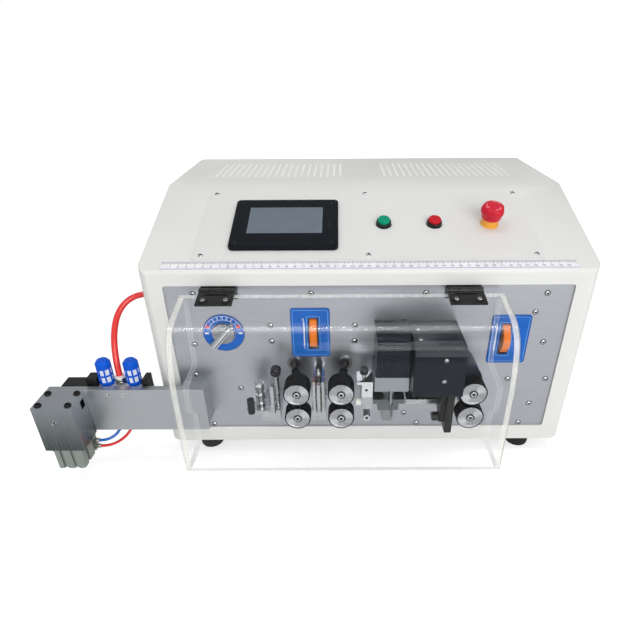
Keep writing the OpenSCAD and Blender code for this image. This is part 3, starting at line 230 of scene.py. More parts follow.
def turned(name, colour, rough, axis="Y"):
    """Lathe-turned metal: rings round the axis, and a painted star-shaped reflection that lightens the colour
    on two opposite sides.
    """
    f = Finish(name, colour, rough, 1.0, Anisotropic=0.75)
    f.set("Tangent", f.node("ShaderNodeTangent", direction_type="RADIAL", axis=axis).outputs[0])
    spot = f.node("ShaderNodeTexCoord").outputs["Generated"]
    spot = f.node("ShaderNodeVectorMath", {0: spot, 1: (0.5, 0.5, 0.5)}, operation="SUBTRACT").outputs[0]
    spot = f.node("ShaderNodeVectorMath", {0: spot, 1: (1.0, 0.0, 1.0)}, operation="MULTIPLY").outputs[0]
    out = f.node("ShaderNodeVectorMath", {0: spot}, operation="LENGTH").outputs["Value"]
    lines = f.node("ShaderNodeTexNoise", {"W": out, "Scale": 60.0, "Detail": 3.0},
                   noise_dimensions="1D").outputs[0]
    base = f.blend(f.span(lines, 0.0, 1.0), shade(colour, 0.80), shade(colour, 1.12))
    part = f.node("ShaderNodeSeparateXYZ", {"Vector": spot}).outputs
    # Painted reflection: a two-armed star of lighter colour round the axis.
    around = f.math("ARCTAN2", part["Z"], part["X"])
    ray = f.math("COSINE", f.math("ADD", f.math("MULTIPLY", around, 2.0), -1.2))
    f.set("Base Color", f.blend(f.span(ray, 0.0, 0.55, 0.1, 1.0), base, shade(colour, 1.9)))
    f.set("Roughness", f.span(f.noise(60.0, 4.0), rough - 0.05, rough + 0.06))
    f.set("Normal", f.bump(lines, 0.05, 0.0002))
    return f.mat


def shaded_block(name, high, low, heights, rough):
    """Ground steel block with painted reflection: its colour darkens towards its foot and on faces turned to
    the front, standing in for the dark floor it mirrors.
    """
    f = Finish(name, high, rough, 1.0, Anisotropic=0.4)
    up = f.node("ShaderNodeSeparateXYZ", {"Vector": f.coords()}).outputs["Z"]
    lines = f.noise(1200.0, 3.0, 0.6, (1, 1, 0.03))
    # Painted reflection: darker towards the foot.
    base = f.blend(f.span(up, 0.0, 1.0, *heights), low, high)
    normal = f.node("ShaderNodeNewGeometry").outputs["Normal"]
    aim = f.node("ShaderNodeSeparateXYZ", {"Vector": normal}).outputs["Y"]
    # Painted reflection: faces turned to the front darker still.
    base = f.blend(f.span(aim, 0.55, 0.0, -1.0, -0.3), base, shade(low, 0.6))
    f.set("Base Color", f.blend(f.span(lines, 0.0, 0.15), base, shade(high, 1.1)))
    f.set("Roughness", f.span(f.noise(30.0, 4.0), rough - 0.05, rough + 0.06))
    f.set("Normal", f.bump(lines, 0.08, 0.0002))
    return f.mat


def plain_metal(name, colour, rough, tint=0.06):
    """Polished or plated metal with faint smears, and a painted highlight that lightens the colour along the
    edges.
    """
    f = Finish(name, colour, rough, 1.0)
    smear = f.noise(70.0, 4.0)
    base = f.blend(f.span(smear, 0.0, 1.0), shade(colour, 1.0 - tint), shade(colour, 1.0 + tint))
    # Painted highlight: the colour lightens along the edges.
    f.set("Base Color", f.blend(f.math("MULTIPLY", f.edges(0.0004), 0.5), base, shade(colour, 1.3)))
    f.set("Roughness", f.span(smear, rough - 0.04, rough + 0.06))
    f.set("Normal", f.bump(f.noise(900.0), 0.03, 0.0002))
    return f.mat


def moulded(name, colour, rough, grain=1400.0, depth=0.08, **sockets):
    """Moulded plastic: fine spark-eroded grain, and a painted highlight that lightens the colour along the
    edges.
    """
    f = Finish(name, colour, rough, **sockets)
    patch = f.noise(45.0, 4.0)
    base = f.blend(f.span(patch, 0.0, 1.0), shade(colour, 0.93), shade(colour, 1.06))
    # Painted highlight: the colour lightens along the edges.
    f.set("Base Color", f.blend(f.math("MULTIPLY", f.edges(0.0005), 0.35), base, shade(colour, 1.5)))
    f.set("Roughness", f.span(patch, rough - 0.05, rough + 0.07))
    f.set("Normal", f.bump(f.noise(grain, 2.0), depth, 0.0003))
    return f.mat


def rubber(name, colour, rough, **sockets):
    """Rubber: matt, dusty in patches, finely pitted."""
    f = Finish(name, colour, rough, **sockets)
    dust = f.noise(120.0, 6.0, 0.65)
    f.set("Base Color", f.blend(f.span(dust, 0.0, 0.6), colour, shade(colour, 2.2)))
    f.set("Roughness", f.span(dust, rough - 0.08, rough + 0.08))
    f.set("Normal", f.bump(f.noise(1600.0, 3.0), 0.25, 0.0003))
    return f.mat


def clear_sheet(name, haze, gloss, tint, rough, wave=0.02):
    """Clear acrylic: a thin mirror layer, stronger at grazing angles, over what is behind."""
    f = Finish(name, tint, rough, 1.0)
    facing = f.node("ShaderNodeLayerWeight", {"Blend": 0.5}).outputs["Facing"]
    mirror = f.span(f.math("POWER", facing, 5.0), 0.04 * gloss, gloss, 0.0, 1.0)
    cloud = f.span(f.noise(14.0, 4.0), haze * 0.7, haze * 1.3)
    f.set("Alpha", f.math("MINIMUM", f.math("ADD", mirror, cloud), 1.0))
    f.set("Roughness", f.span(f.noise(30.0, 4.0), rough * 0.6, rough * 1.6))
    f.set("Normal", f.bump(f.noise(22.0, 2.0), wave, 0.002))
    return f.mat


def cut_edge(name, colour, alpha, rim=0.0):
    """Sawn edge of clear acrylic: pale, half see-through, streaked along the cut, brighter on its corners."""
    f = Finish(name, colour, 0.35)
    streak = f.noise(500.0, 3.0, 0.6, (1, 1, 0.1))
    f.set("Base Color", f.blend(f.span(streak, 0.0, 1.0), shade(colour, 0.93), shade(colour, 1.03)))
    veil = f.span(streak, alpha * 0.88, alpha * 1.12)
    f.set("Alpha", f.math("ADD", veil, f.math("MULTIPLY", f.edges(0.0012), rim)) if rim else veil)
    f.set("Normal", f.bump(streak, 0.1, 0.0003))
    return f.mat


M = {
    "white": painted("powder_white", tone(229, 229, 226), 0.42),
    "panel": painted("panel_white", tone(224, 224, 222), 0.48, 0.04, 1300.0),
    "inside": painted("inside_grey", tone(190, 191, 190), 0.55),
    "plate": brushed("plate_aluminium", tone(180, 183, 189), 0.36, (0.015, 1, 1)),
    "arm": brushed("arm_aluminium", tone(180, 184, 188), 0.42, (0.02, 1, 1)),
    # Clamp block: painted reflection, darker towards its foot and on its front.
    "clamp": shaded_block("clamp_steel", tone(184, 190, 196), tone(66, 78, 74), (0.066, 0.128), 0.24),
    "cylinder": brushed("cylinder_aluminium", tone(150, 158, 152), 0.42, (1, 1, 0.03)),
    "valve": painted("valve_white", tone(224, 226, 228), 0.40, 0.03),
    "guide": plain_metal("guide_steel", tone(186, 188, 190), 0.26),
    "bright": plain_metal("bright_steel", tone(222, 224, 226), 0.22),
    "carriage": brushed("carriage_aluminium", tone(158, 164, 168), 0.34, (1, 0.03, 1)),
    "screw": plain_metal("screw_steel", tone(196, 198, 200), 0.20),
    "lower": brushed("lower_aluminium", tone(112, 120, 120), 0.40, (1, 0.03, 1)),
    "bush": plain_metal("bush_steel", tone(150, 152, 154), 0.32),
    "nickel": plain_metal("fitting_nickel", tone(206, 204, 196), 0.18),
    "chrome": plain_metal("knob_chrome", tone(214, 216, 220), 0.14),
    "hub": turned("hub_aluminium", tone(172, 174, 178), 0.24),
    "hood": painted("hood_black", tone(11, 19, 30), 0.18, 0.02, 700.0, Specular_IOR_Level=0.16),
    "black": moulded("black_plastic", tone(13, 14, 16), 0.40, Specular_IOR_Level=0.35),
    "hinge": moulded("hinge_black", tone(12, 13, 16), 0.32, Specular_IOR_Level=0.4),
    "bezel": moulded("bezel_black", tone(12, 17, 24), 0.24, 1800.0, 0.03, Specular_IOR_Level=0.12),
    "glass": moulded("screen_glass", tone(98, 110, 122), 0.12, 60.0, 0.01),
    "yellow": moulded("estop_yellow", tone(240, 170, 60), 0.36),
    "green": moulded("start_green", tone(0, 148, 114), 0.26, 900.0, 0.03, Specular_IOR_Level=0.15),
    "red": moulded("stop_red", tone(194, 18, 34), 0.26, 900.0, 0.03, Specular_IOR_Level=0.2),
    "crimson": moulded("estop_red", tone(204, 22, 46), 0.28, 900.0, 0.02, Specular_IOR_Level=0.3),
    "blue": moulded("print_blue", tone(18, 98, 190), 0.42, 1600.0, 0.03, Specular_IOR_Level=0.25),
    "paper": moulded("rule_white", tone(238, 238, 242), 0.40, 1600.0, 0.02),
    "silencer": moulded("silencer_blue", tone(0, 88, 212), 0.36, Specular_IOR_Level=0.2),
    "sinter": rubber("silencer_white", tone(226, 230, 234), 0.8),
    "orange": moulded("wheel_orange", tone(232, 124, 30), 0.40, Specular_IOR_Level=0.2),
    "tyre": rubber("tyre_black", tone(6, 7, 9), 0.66, Specular_IOR_Level=0.08),
    "foot": rubber("foot_rubber", tone(24, 24, 25), 0.7, Specular_IOR_Level=0.3),
    "motor": painted("motor_black", tone(34, 34, 36), 0.4),
    "case": brushed("case_aluminium", tone(190, 192, 194), 0.45, (1, 0.03, 1)),
    "board": moulded("board_green", tone(18, 84, 52), 0.35),
    "tube_red": moulded("tube_red", tone(232, 48, 44), 0.22, 500.0, 0.01, Coat_Weight=0.3),
    "tube_blue": moulded("tube_blue", tone(0, 108, 205), 0.22, 500.0, 0.01, Coat_Weight=0.3),
    "clear": clear_sheet("clear_acrylic", 0.002, 0.13, tone(248, 250, 251), 0.05),
    "clear_bend": clear_sheet("clear_bend", 0.004, 1.6, tone(248, 250, 251), 0.2, 0.001),
    "clear_edge": cut_edge("acrylic_edge", tone(236, 238, 236), 0.62),
    "clear_back": cut_edge("acrylic_back", tone(240, 242, 242), 0.14, 0.75),
    "seam": cut_edge("acrylic_seam", tone(243, 242, 234), 0.60),
    "white_bush": moulded("bush_white", tone(232, 232, 226), 0.4),
    "navy": moulded("print_navy", tone(24, 70, 140), 0.36, 1600.0, 0.03),
    "line": moulded("print_line", tone(120, 176, 232), 0.36, 1600.0, 0.03),
    "mark": moulded("print_white", tone(236, 240, 246), 0.36, 1600.0, 0.03),
    "mark_red": moulded("print_red", tone(232, 62, 58), 0.36, 1600.0, 0.03),
    "tick": moulded("print_grey", tone(112, 116, 132), 0.40, 1600.0, 0.03),
    "border": moulded("print_border", tone(178, 182, 198), 0.40, 1600.0, 0.03),
    # Near-black: painted shade in screw sockets, in gaps round screw heads and along the pointer; also the
    # black nose screw and the slot frames on the labels.
    "dark": moulded("recess_shade_and_black", tone(14, 14, 15), 0.5),
    "ring": turned("dial_face", tone(146, 148, 152), 0.34),
    # Near-white sheet filling the vent slots: painted light, so the slots read as pale lines.
    "light_fill": moulded("vent_light_fill", tone(252, 252, 252), 0.7, 700.0, 0.05),
    "pale_red": moulded("arrow_pale", tone(232, 128, 136), 0.35, 900.0, 0.03),
    "rocker": moulded("rocker_red", tone(176, 28, 30), 0.28, 900.0, 0.03),
}

# ---------------------------------------------------------------- shapes


def finish_mesh(bm, obj, sharp=38.0):
    bm.to_mesh(obj.data)
    bm.free()
    obj.data.shade_smooth()
    obj.data.set_sharp_from_angle(angle=math.radians(sharp))
    weigh = obj.modifiers.new("weighted", "WEIGHTED_NORMAL")
    weigh.keep_sharp = True


def round_edges(bm, width, angle=28.0, segments=2):
    sharp = [e for e in bm.edges if len(e.link_faces) == 2 and e.calc_face_angle(0.0) > math.radians(angle)]
    bmesh.ops.bevel(bm, geom=sharp, offset=width * MM, offset_type="OFFSET", segments=segments,
                    profile=0.5, affect="EDGES", clamp_overlap=True, loop_slide=True)


def dress(node, materials, bevel=0.0, pick=None, segments=2):
    """Shows a CAD node with rounded edges: a finished copy stands for it and rides where it rides."""
    source = NODES[node]
    mesh = bpy.data.meshes.new(node + "_finished")
    obj = bpy.data.objects.new(node + "_finished", mesh)
    SCENE.collection.objects.link(obj)
    for m in materials:
        mesh.materials.append(M[m])
    bm = bmesh.new()
    bm.from_mesh(source.data)
    bmesh.ops.remove_doubles(bm, verts=bm.verts, dist=2e-6)
    bmesh.ops.dissolve_limit(bm, angle_limit=math.radians(0.4), verts=bm.verts, edges=bm.edges,
                             use_dissolve_boundaries=False)
    for f in bm.faces:
        f.material_index = 0
        if pick:
            c = (f.calc_center_median() - ORIGIN) / MM
            f.material_index = pick(c, f.normal)
    if bevel:
        round_edges(bm, bevel, segments=segments)
    bmesh.ops.recalc_face_normals(bm, faces=bm.faces)
    finish_mesh(bm, obj)
    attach(obj, source["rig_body"])
    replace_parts(obj, node)
    return obj


def detail(name, body, slot, materials, build):
    """New piece drawn by code, riding on a body."""
    mesh = bpy.data.meshes.new(name)
    obj = bpy.data.objects.new(name, mesh)
    SCENE.collection.objects.link(obj)
    for m in materials:
        mesh.materials.append(M[m])
    bm = bmesh.new()
    build(bm)
    bmesh.ops.recalc_face_normals(bm, faces=bm.faces)
    finish_mesh(bm, obj)
    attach(obj, body)
    return obj


def lathe(bm, m, profile, mat=0, steps=32, lobes=0.0):
    """Turns (radius, height) points round local Z; lobes draws the outline in at three places."""
    rings = []
    for r, h in profile:
        if r < 1e-6:
            rings.append([bm.verts.new(m @ Vector((0.0, 0.0, h)))])
            continue
        ring = []
        for k in range(steps):
            a = 2.0 * math.pi * k / steps
            s = r * (1.0 - lobes * (0.5 + 0.5 * math.cos(3.0 * a))) if r > 13.0 else r
            ring.append(bm.verts.new(m @ Vector((s * math.cos(a), s * math.sin(a), h))))
        rings.append(ring)
    for a, b in zip(rings, rings[1:]):
        for k in range(steps):
            n = (k + 1) % steps
            corners = [a[k % len(a)], a[n % len(a)], b[n % len(b)], b[k % len(b)]]
            bm.faces.new(list(dict.fromkeys(corners))).material_index = mat


def plate(bm, m, outline, low, high, mat=0):
    """Pulls an outline of (x, y) points from one height to another."""
    below = [bm.verts.new(m @ Vector((x, y, low))) for x, y in outline]
    above = [bm.verts.new(m @ Vector((x, y, high))) for x, y in outline]
    faces = [bm.faces.new(below[::-1]), bm.faces.new(above)]
    for k in range(len(outline)):
        n = (k + 1) % len(outline)
        faces.append(bm.faces.new((below[k], below[n], above[n], above[k])))
    for f in faces:
        f.material_index = mat


def block(bm, m, low, high, mat=0):
    (x0, y0, z0), (x1, y1, z1) = low, high
    plate(bm, m, [(x0, y0), (x1, y0), (x1, y1), (x0, y1)], z0, z1, mat)


def sector(bm, m, r0, r1, a0, a1, low, high, mat=0):
    """Part of a flat ring between two angles, in degrees."""
    n = max(2, int(abs(a1 - a0) / 5.0))
    turn = [math.radians(a0 + (a1 - a0) * k / n) for k in range(n + 1)]
    outer = [(r1 * math.cos(a), r1 * math.sin(a)) for a in turn]
    inner = [(r0 * math.cos(a), r0 * math.sin(a)) for a in reversed(turn)]
    plate(bm, m, outer + inner, low, high, mat)


def stroke(bm, m, a, b, width, low, high, mat=0):
    """Printed line between two points."""
    a, b = Vector(a), Vector(b)
    way = (b - a).normalized() * (width / 2)
    side = Vector((-way.y, way.x))
    plate(bm, m, [a - way - side, b + way - side, b + way + side, a - way + side], low, high, mat)


def frame_line(bm, m, w, h, r, width, low, high, mat=0):
    """Printed border with round corners."""
    def corners(inset):
        out = []
        for cx, cy, start in ((1, 1, 0), (-1, 1, 90), (-1, -1, 180), (1, -1, 270)):
            for k in range(5):
                a = math.radians(start + 22.5 * k)
                out.append((cx * (w / 2 - r) + (r - inset) * math.cos(a),
                            cy * (h / 2 - r) + (r - inset) * math.sin(a)))
        return out
    outer, inner = corners(0.0), corners(width)
    n = len(outer)
    for k in range(n):
        e = (k + 1) % n
        plate(bm, m, [outer[k], outer[e], inner[e], inner[k]], low, high, mat)


DIGIT_STROKES = {
    "0": "abcdef", "1": "bc", "2": "abged", "3": "abgcd", "4": "fgbc",
    "5": "afgcd", "6": "afgedc", "7": "abc", "8": "abcdefg", "9": "abcdfg",
}
STROKE_ENDS = {
    "a": ((0, 2), (1, 2)), "b": ((1, 1), (1, 2)), "c": ((1, 0), (1, 1)), "d": ((0, 0), (1, 0)),
    "e": ((0, 0), (0, 1)), "f": ((0, 1), (0, 2)), "g": ((0, 1), (1, 1)),
}


def number(bm, m, text, x, y, height, width, low, high, mat=0):
    """Plain number drawn in strokes, centred on a place."""
    unit = height / 2
    step = unit * 1.7
    left = x - (step * (len(text) - 1) + unit) / 2
    for i, digit in enumerate(text):
        for s in DIGIT_STROKES[digit]:
            (ax, ay), (bx, by) = STROKE_ENDS[s]
            ox = left + i * step
            stroke(bm, m, (ox + ax * unit, y - unit + ay * unit), (ox + bx * unit, y - unit + by * unit),
                   width, low, high, mat)


def cap_screw(bm, m, r, h, head=0, recess=1):
    """Socket-head screw standing on local Z = 0."""
    lathe(bm, m, [(r, 0.0), (r, h - 0.35), (r - 0.35, h), (0.58 * r, h)], head, 28)
    # The socket takes the recess material: painted shade.
    lathe(bm, m, [(0.58 * r, h), (0.55 * r, h - 0.7 * h), (0.0, h - 0.7 * h)], recess, 6)


def dome_screw(bm, m, r, head=0, recess=1):
    """Button-head screw with a socket, standing on local Z = 0."""
    dome = [(1.0, 0.0), (0.97, 0.2), (0.82, 0.42), (0.55, 0.54), (0.46, 0.55)]
    lathe(bm, m, [(a * r, b * r) for a, b in dome], head, 28)
    # The socket takes the recess material: painted shade.
    lathe(bm, m, [(0.46 * r, 0.55 * r), (0.44 * r, 0.25 * r), (0.0, 0.25 * r)], recess, 6)


def cross_screw(bm, m, r, head=0, recess=1):
    """Flat screw standing on local Z = 0, with a dark cross laid on its head as painted shade for the cross
    recess.
    """
    lathe(bm, m, [(r, 0.0), (r, 0.15 * r), (0.85 * r, 0.3 * r), (0.0, 0.34 * r)], head, 28)
    # Painted shade: a flat cross in the recess material.
    for w, h in ((1.1 * r, 0.28 * r), (0.28 * r, 1.1 * r)):
        block(bm, m, (-w / 2, -h / 2, 0.33 * r), (w / 2, h / 2, 0.36 * r), recess)


# ---------------------------------------------------------------- camera, floor and light

camera = bpy.data.cameras.new("camera")
camera.sensor_width = 36.0
camera.lens = 27.695
camera.shift_x = -0.0327
camera.shift_y = 0.0035
camera.clip_end = 60.0
eye = bpy.data.objects.new("camera", camera)
SCENE.collection.objects.link(eye)
eye.matrix_world = (
    Matrix.Translation((0.03382, -0.68029, 0.51321))
    @ Matrix.Rotation(math.radians(-0.03), 4, "Z")
    @ Matrix.Rotation(math.radians(61.2), 4, "X")
    @ Matrix.Rotation(math.radians(-0.28), 4, "Z")
)
SCENE.camera = eye


def make_floor():
    """White floor that keeps the shadow, and a pale bench for what mirrors it."""
    f = Finish("floor_white", (0.82, 0.82, 0.82, 1.0), 0.9)
    light = f.node("ShaderNodeLightPath").outputs
    spot = f.node("ShaderNodeTexCoord").outputs["Object"]
    away = f.node("ShaderNodeVectorMath", {0: spot}, operation="LENGTH").outputs["Value"]
    glow = f.math("MULTIPLY", light["Is Camera Ray"], f.span(away, 0.50, 1.0, 0.55, 1.5))
    f.set("Emission Color", (1.0, 1.0, 1.0, 1.0))
    f.set("Emission Strength", f.math("ADD", glow, f.math("MULTIPLY", light["Is Glossy Ray"], 0.15)))
    bm = bmesh.new()
    bmesh.ops.create_grid(bm, x_segments=8, y_segments=8, size=14.0)
    mesh = bpy.data.meshes.new("floor")
    bm.to_mesh(mesh)
    bm.free()
    floor = bpy.data.objects.new("floor", mesh)
    mesh.materials.append(f.mat)
    SCENE.collection.objects.link(floor)


make_floor()


def make_world():
    """White for the eye; mirrored rays see a greyer room, palest in front."""
    world = bpy.data.worlds.new("studio")
    SCENE.world = world
    world.use_nodes = True
    tree = world.node_tree
    back = tree.nodes["Background"]
    light = tree.nodes.new("ShaderNodeLightPath").outputs
    aim = tree.nodes.new("ShaderNodeTexCoord")
    split = tree.nodes.new("ShaderNodeSeparateXYZ")
    tree.links.new(aim.outputs["Generated"], split.inputs[0])
    room = tree.nodes.new("ShaderNodeMapRange")
    for key, value in {"From Min": -0.9, "From Max": 0.35, "To Min": 0.75, "To Max": 0.45}.items():
        room.inputs[key].default_value = value
    tree.links.new(split.outputs["Y"], room.inputs["Value"])
    glossy = tree.nodes.new("ShaderNodeMix")
    glossy.inputs["A"].default_value = 0.47
    tree.links.new(light["Is Glossy Ray"], glossy.inputs["Factor"])
    tree.links.new(room.outputs[0], glossy.inputs["B"])
    total = tree.nodes.new("ShaderNodeMath")
    total.operation = "MAXIMUM"
    tree.links.new(light["Is Camera Ray"], total.inputs[0])
    tree.links.new(glossy.outputs[0], total.inputs[1])
    tree.links.new(total.outputs[0], back.inputs["Strength"])
    back.inputs["Color"].default_value = (1.0, 1.0, 1.0, 1.0)


make_world()


def lamp(name, place, aim, size, watts):
    light = bpy.data.lights.new(name, "AREA")
    light.shape = "RECTANGLE"
    light.size, light.size_y = size
    light.energy = watts
    obj = bpy.data.objects.new(name, light)
    SCENE.collection.objects.link(obj)
    obj.location = place
    obj.rotation_euler = (Vector(aim) - Vector(place)).to_track_quat("-Z", "Y").to_euler()


lamp("key", (0.7, -2.1, 1.1), (0.0, -0.05, 0.15), (1.8, 1.2), 28.0)
lamp("top", (-0.3, 0.3, 2.2), (0.0, 0.0, 0.2), (2.0, 1.6), 2.0)
lamp("fill", (-0.7, 2.4, 0.35), (0.0, 0.1, 0.15), (1.6, 0.6), 6.0)
lamp("strip", (0.0, -0.28, 1.7), (0.0, -0.22, 0.2), (2.4, 0.02), 6.0)

# ---------------------------------------------------------------- the CAD nodes' finish


def wire_guide_parts(c, n):
    if c.x < -143.5 and c.z > 110.2:
        return 1                                    # black guide post
    if abs(c.x + 117) < 7.5 and c.z > 154:
        return 1                                    # eyelet
    if -69 < c.x < -57 and c.y > WIRE_Y + 11.5 and 109.5 < c.z < 143:
        return 1                                    # insert between the side plates
    if -71 < c.x < -55 and c.z > 109.5 and c.y > WIRE_Y - 6.5 and abs(n.x) > 0.5:
        return 2                                    # bright side plates
    return 0


def blade_guide_parts(c, n):
    if c.z > 162.5:
        return 1                                    # bolt head
    if 150.5 < c.z < 156 and abs(c.x + 6) + abs(c.y - WIRE_Y) > 2.6:
        return 1                                    # cap
    if c.x < -9.5 and abs(c.z - WIRE_Z) < 6.5:
        return 2                                    # bush
    if c.z > 131.5 or (c.y < -45.9 and c.z < 108):
        return 3                                    # upper block and thumbscrew
    return 0


def scale_parts(c, n):
    return 1 if c.z > 279 else 0


def silencer_parts(c, n):
    centre = min((VALVE_X - 18.0, VALVE_X + 18.0), key=lambda x: abs(c.x - x))
    r = math.hypot(c.x - centre, c.y - VALVE_Y)
    return 1 if r < 8.9 and 132 < c.z < 154 and abs(n.z) < 0.9 else 0


def fitting_parts(c, n):
    return 1 if c.z > 137.4 and abs(c.x - VALVE_X) < 7 and c.y < 10 else 0


def cover_parts(c, n):
    across = abs(c.x - COVER_X)
    if abs(across - COVER_W / 2) < 0.2 or c.z < COVER_FOOT + 0.5:
        return 1                                    # sawn ends and foot
    if abs(across - 191.5) < 3.3 and abs(n.x) < 0.5 and c.y > -90 and (n.y > 0.3 or n.z < -0.3):
        return 2                                    # back edges of the side panels
    if abs(n.x) < 0.5 and c.y > -20 and c.z > 245 and n.y > 0.5:
        return 1                                    # back edge of the sheet
    return 3 if abs(n.x) < 0.1 and 0.80 < abs(n.z) < 0.92 and c.y < -40 else 0


def knob_parts(c, n):
    if c.y > -2.2:
        return 1                                    # turned base
    if n.y < -0.9:
        return 0 if c.y < -12 else 2                # top of the pointer, and its step
    return 3


dress("cabinet_shell", ["white"], 0.5)
dress("base_plate", ["inside"], 0.3)
dress("rear_panel", ["white"], 0.3)
dress("feet", ["foot"], 1.2)
dress("control_panel", ["panel"], 0.4)
dress("plate_screws", ["screw"], 0.15)
dress("display_bezel", ["bezel"], 0.6)
dress("display_glass", ["glass"], 0.1)
dress("front_plate", ["plate"], 0.4)
dress("fixed_hinge_leaves", ["hinge"], 0.3)
dress("moving_hinge_leaves", ["hinge"], 0.4)
dress("scale_plates", ["blue", "paper"], 0.1, scale_parts)
dress("wire_guides", ["guide", "black", "bright"], 0.25, wire_guide_parts)
dress("blade_guide", ["guide", "black", "white_bush", "bright"], 0.3, blade_guide_parts)
dress("blade_cover", ["hood"], 0.5)
dress("outfeed_housing", ["hood"], 0.6)
dress("blade_rail", ["bush"], 0.2)
dress("outlet_guide", ["black"], 0.4)
dress("infeed_arm", ["arm"], 0.5)
dress("clamp_body", ["clamp"], 0.5)
dress("clamp_cylinder", ["cylinder"], 0.4)
dress("valve_body", ["valve"], 0.4)
dress("valve_coil", ["black"], 0.8)
dress("silencers", ["silencer", "sinter"], 0.2, silencer_parts)
dress("air_fittings", ["nickel", "white_bush"], 0.25, fitting_parts)
dress("shaft_bearings", ["bush"], 0.3)
dress("drive_motors", ["motor"], 0.5)
dress("power_supply", ["case"], 0.4)
dress("control_board", ["board"], 0.2)
dress("power_inlet", ["black"], 0.4)
dress("front_cover", ["clear", "clear_edge", "clear_back", "clear_bend"], 0.0, cover_parts)
dress("dial_knob", ["chrome", "ring", "bush", "guide"], 0.5, knob_parts)
for wheel in ("feed_wheel", "outfeed_wheel"):
    dress(wheel, ["orange"], 0.25)
dress("start_button", ["green"], 0.8, segments=3)
dress("stop_button", ["red"], 0.8, segments=3)
dress("estop_stem", ["crimson"], 0.3)
dress("clamp_jaw", ["guide"], 0.5)
dress("upper_blade", ["carriage"], 0.3)
dress("lower_blade", ["lower"], 0.3)
for hub in HUBS:
    dress(hub, ["hub"], 0.2)
for hub in HUBS:
    dress(hub.replace("hub", "tyre"), ["tyre"], 0.3)
for shaft in ("drive_shaft_1", "drive_shaft_2"):
    dress(shaft, ["black"], 0.3)

# ---------------------------------------------------------------- air tubes


def tube_route(a, a_way, b, b_way, reach, steps=32):
    """Straight out of each fitting, with one curve between, as in the CAD."""
    a, b, a_way, b_way = Vector(a), Vector(b), Vector(a_way), Vector(b_way)
    p0, p3 = a + a_way * reach[0], b + b_way * reach[3]
    p1, p2 = p0 + a_way * reach[1], p3 + b_way * reach[2]
    bent = []
    for k in range(steps + 1):
        t = k / steps
        s = 1.0 - t
        bent.append(s ** 3 * p0 + 3 * s * s * t * p1 + 3 * s * t * t * p2 + t ** 3 * p3)
    return [a] + bent + [b]


def air_tube(name, diameter, material, *ends):
    route = [at(*q) for q in tube_route(*ends)]
    curve = bpy.data.curves.new(name + "_hose", "CURVE")
    curve.dimensions = "3D"
    curve.bevel_depth = diameter / 2 * MM
    curve.bevel_resolution = 5
    curve.use_fill_caps = True
    spline = curve.splines.new("POLY")
    spline.points.add(len(route) - 1)
    for point, q in zip(spline.points, route):
        point.co = (*q, 1.0)
    spline.use_smooth = True
    obj = bpy.data.objects.new(name + "_hose", curve)
    SCENE.collection.objects.link(obj)
    curve.materials.append(M[material])
    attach(obj, "machine")
    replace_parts(obj, name)


UP, DOWN, LEFT, RIGHT = (0, 0, 1), (0, 0, -1), (-1, 0, 0), (1, 0, 0)
air_tube("supply_tube", 8.0, "tube_red",
         (VALVE_X, VALVE_Y, 131.5), UP, (-280.0, 55.0, 230.0), LEFT, (10, 37, 64, 8))
air_tube("tube_blue", 4.0, "tube_blue",
         (VALVE_X - 9.0, VALVE_Y, 96.0), DOWN, (-371.5, -25.5, 45.5), RIGHT, (6, 40, 19, 6))
air_tube("tube_red", 4.0, "tube_red",
         (VALVE_X + 9.0, VALVE_Y, 96.0), DOWN, (-371.5, -25.5, 35.5), RIGHT, (6, 37, 28, 6))

# ---------------------------------------------------------------- printed marks


def draw_rule(bm):
    m = on_slope(0.0, 11.0, 0.6)
    for y in (-5.9, 5.9):
        stroke(bm, m, (-251.0, y), (251.0, y), 0.9, 0.0, INK, 1)
    for mm in range(501):
        tall = 4.6 if mm % 10 == 0 else 3.4 if mm % 5 == 0 else 2.2
        stroke(bm, m, (mm - 250.0, 5.2), (mm - 250.0, 5.2 - tall), 0.34 if mm % 10 else 0.5, 0.0, INK, 0)
    for cm in range(1, 50):
        number(bm, m, str(cm), cm * 10.0 - 250.0, -2.6, 2.8, 0.42, 0.0, INK, 0)


def draw_dial(bm):
    m = on_plate(*DIAL_AT, LABEL_T)
    sector(bm, m, 25.5, 26.4, 0, 360, 0.0, INK, 0)
    sector(bm, m, 4.2, 15.4, 0, 360, 0.0, THICK_INK, 3)
    for r in (19.0, 24.2):
        sector(bm, m, r, r + 0.55, 20, 160, 0.0, THICK_INK, 1)
    for a in (20, 148):
        sector(bm, m, 19.6, 24.0, a, a + 12, 0.0, 0.1, 2)
    for k in range(7):
        turn = Matrix.Rotation(math.radians(48.0 - 16.0 * k), 4, "Z")
        number(bm, m @ turn, str(k + 1), 0.0, 21.8, 3.2, 0.6, 0.0, THICK_INK, 1)
    for a in (0, 180):
        sector(bm, m, 19.0, 24.0, a - 3, a + 3, 0.0, THICK_INK, 1)


def draw_label(x, z, slot_x, slot_z):
    def draw(bm):
        m = on_plate(x, z, LABEL_T)
        frame_line(bm, m, 49.4, 70.4, 3.8, 0.8, 0.0, INK, 0)
        frame_line(bm, m, 45.0, 66.0, 2.4, 0.5, 0.0, INK, 1)
        s = on_plate(slot_x, slot_z, LABEL_T)
        frame_line(bm, s, 17.0, 50.0, 1.6, 0.5, 0.0, INK, 1)
        frame_line(bm, s, 12.6, 45.4, 0.6, 0.6, 0.0, THICK_INK, 3)
        line = slot_x - x - 11.8
        up = slot_z - z
        stroke(bm, m, (line, up - 17.0), (line, up + 17.0), 1.3, 0.0, THICK_INK, 2)
        for k in range(9):
            y = up - 17.0 + k * 4.25
            stroke(bm, m, (line - 1.6, y), (line, y), 0.45, 0.0, THICK_INK, 2)
        for y, text in ((up + 20.5, "9"), (up - 20.5, "1")):
            number(bm, m, text, line - 1.0, y, 3.2, 0.55, 0.0, THICK_INK, 2)
    return draw


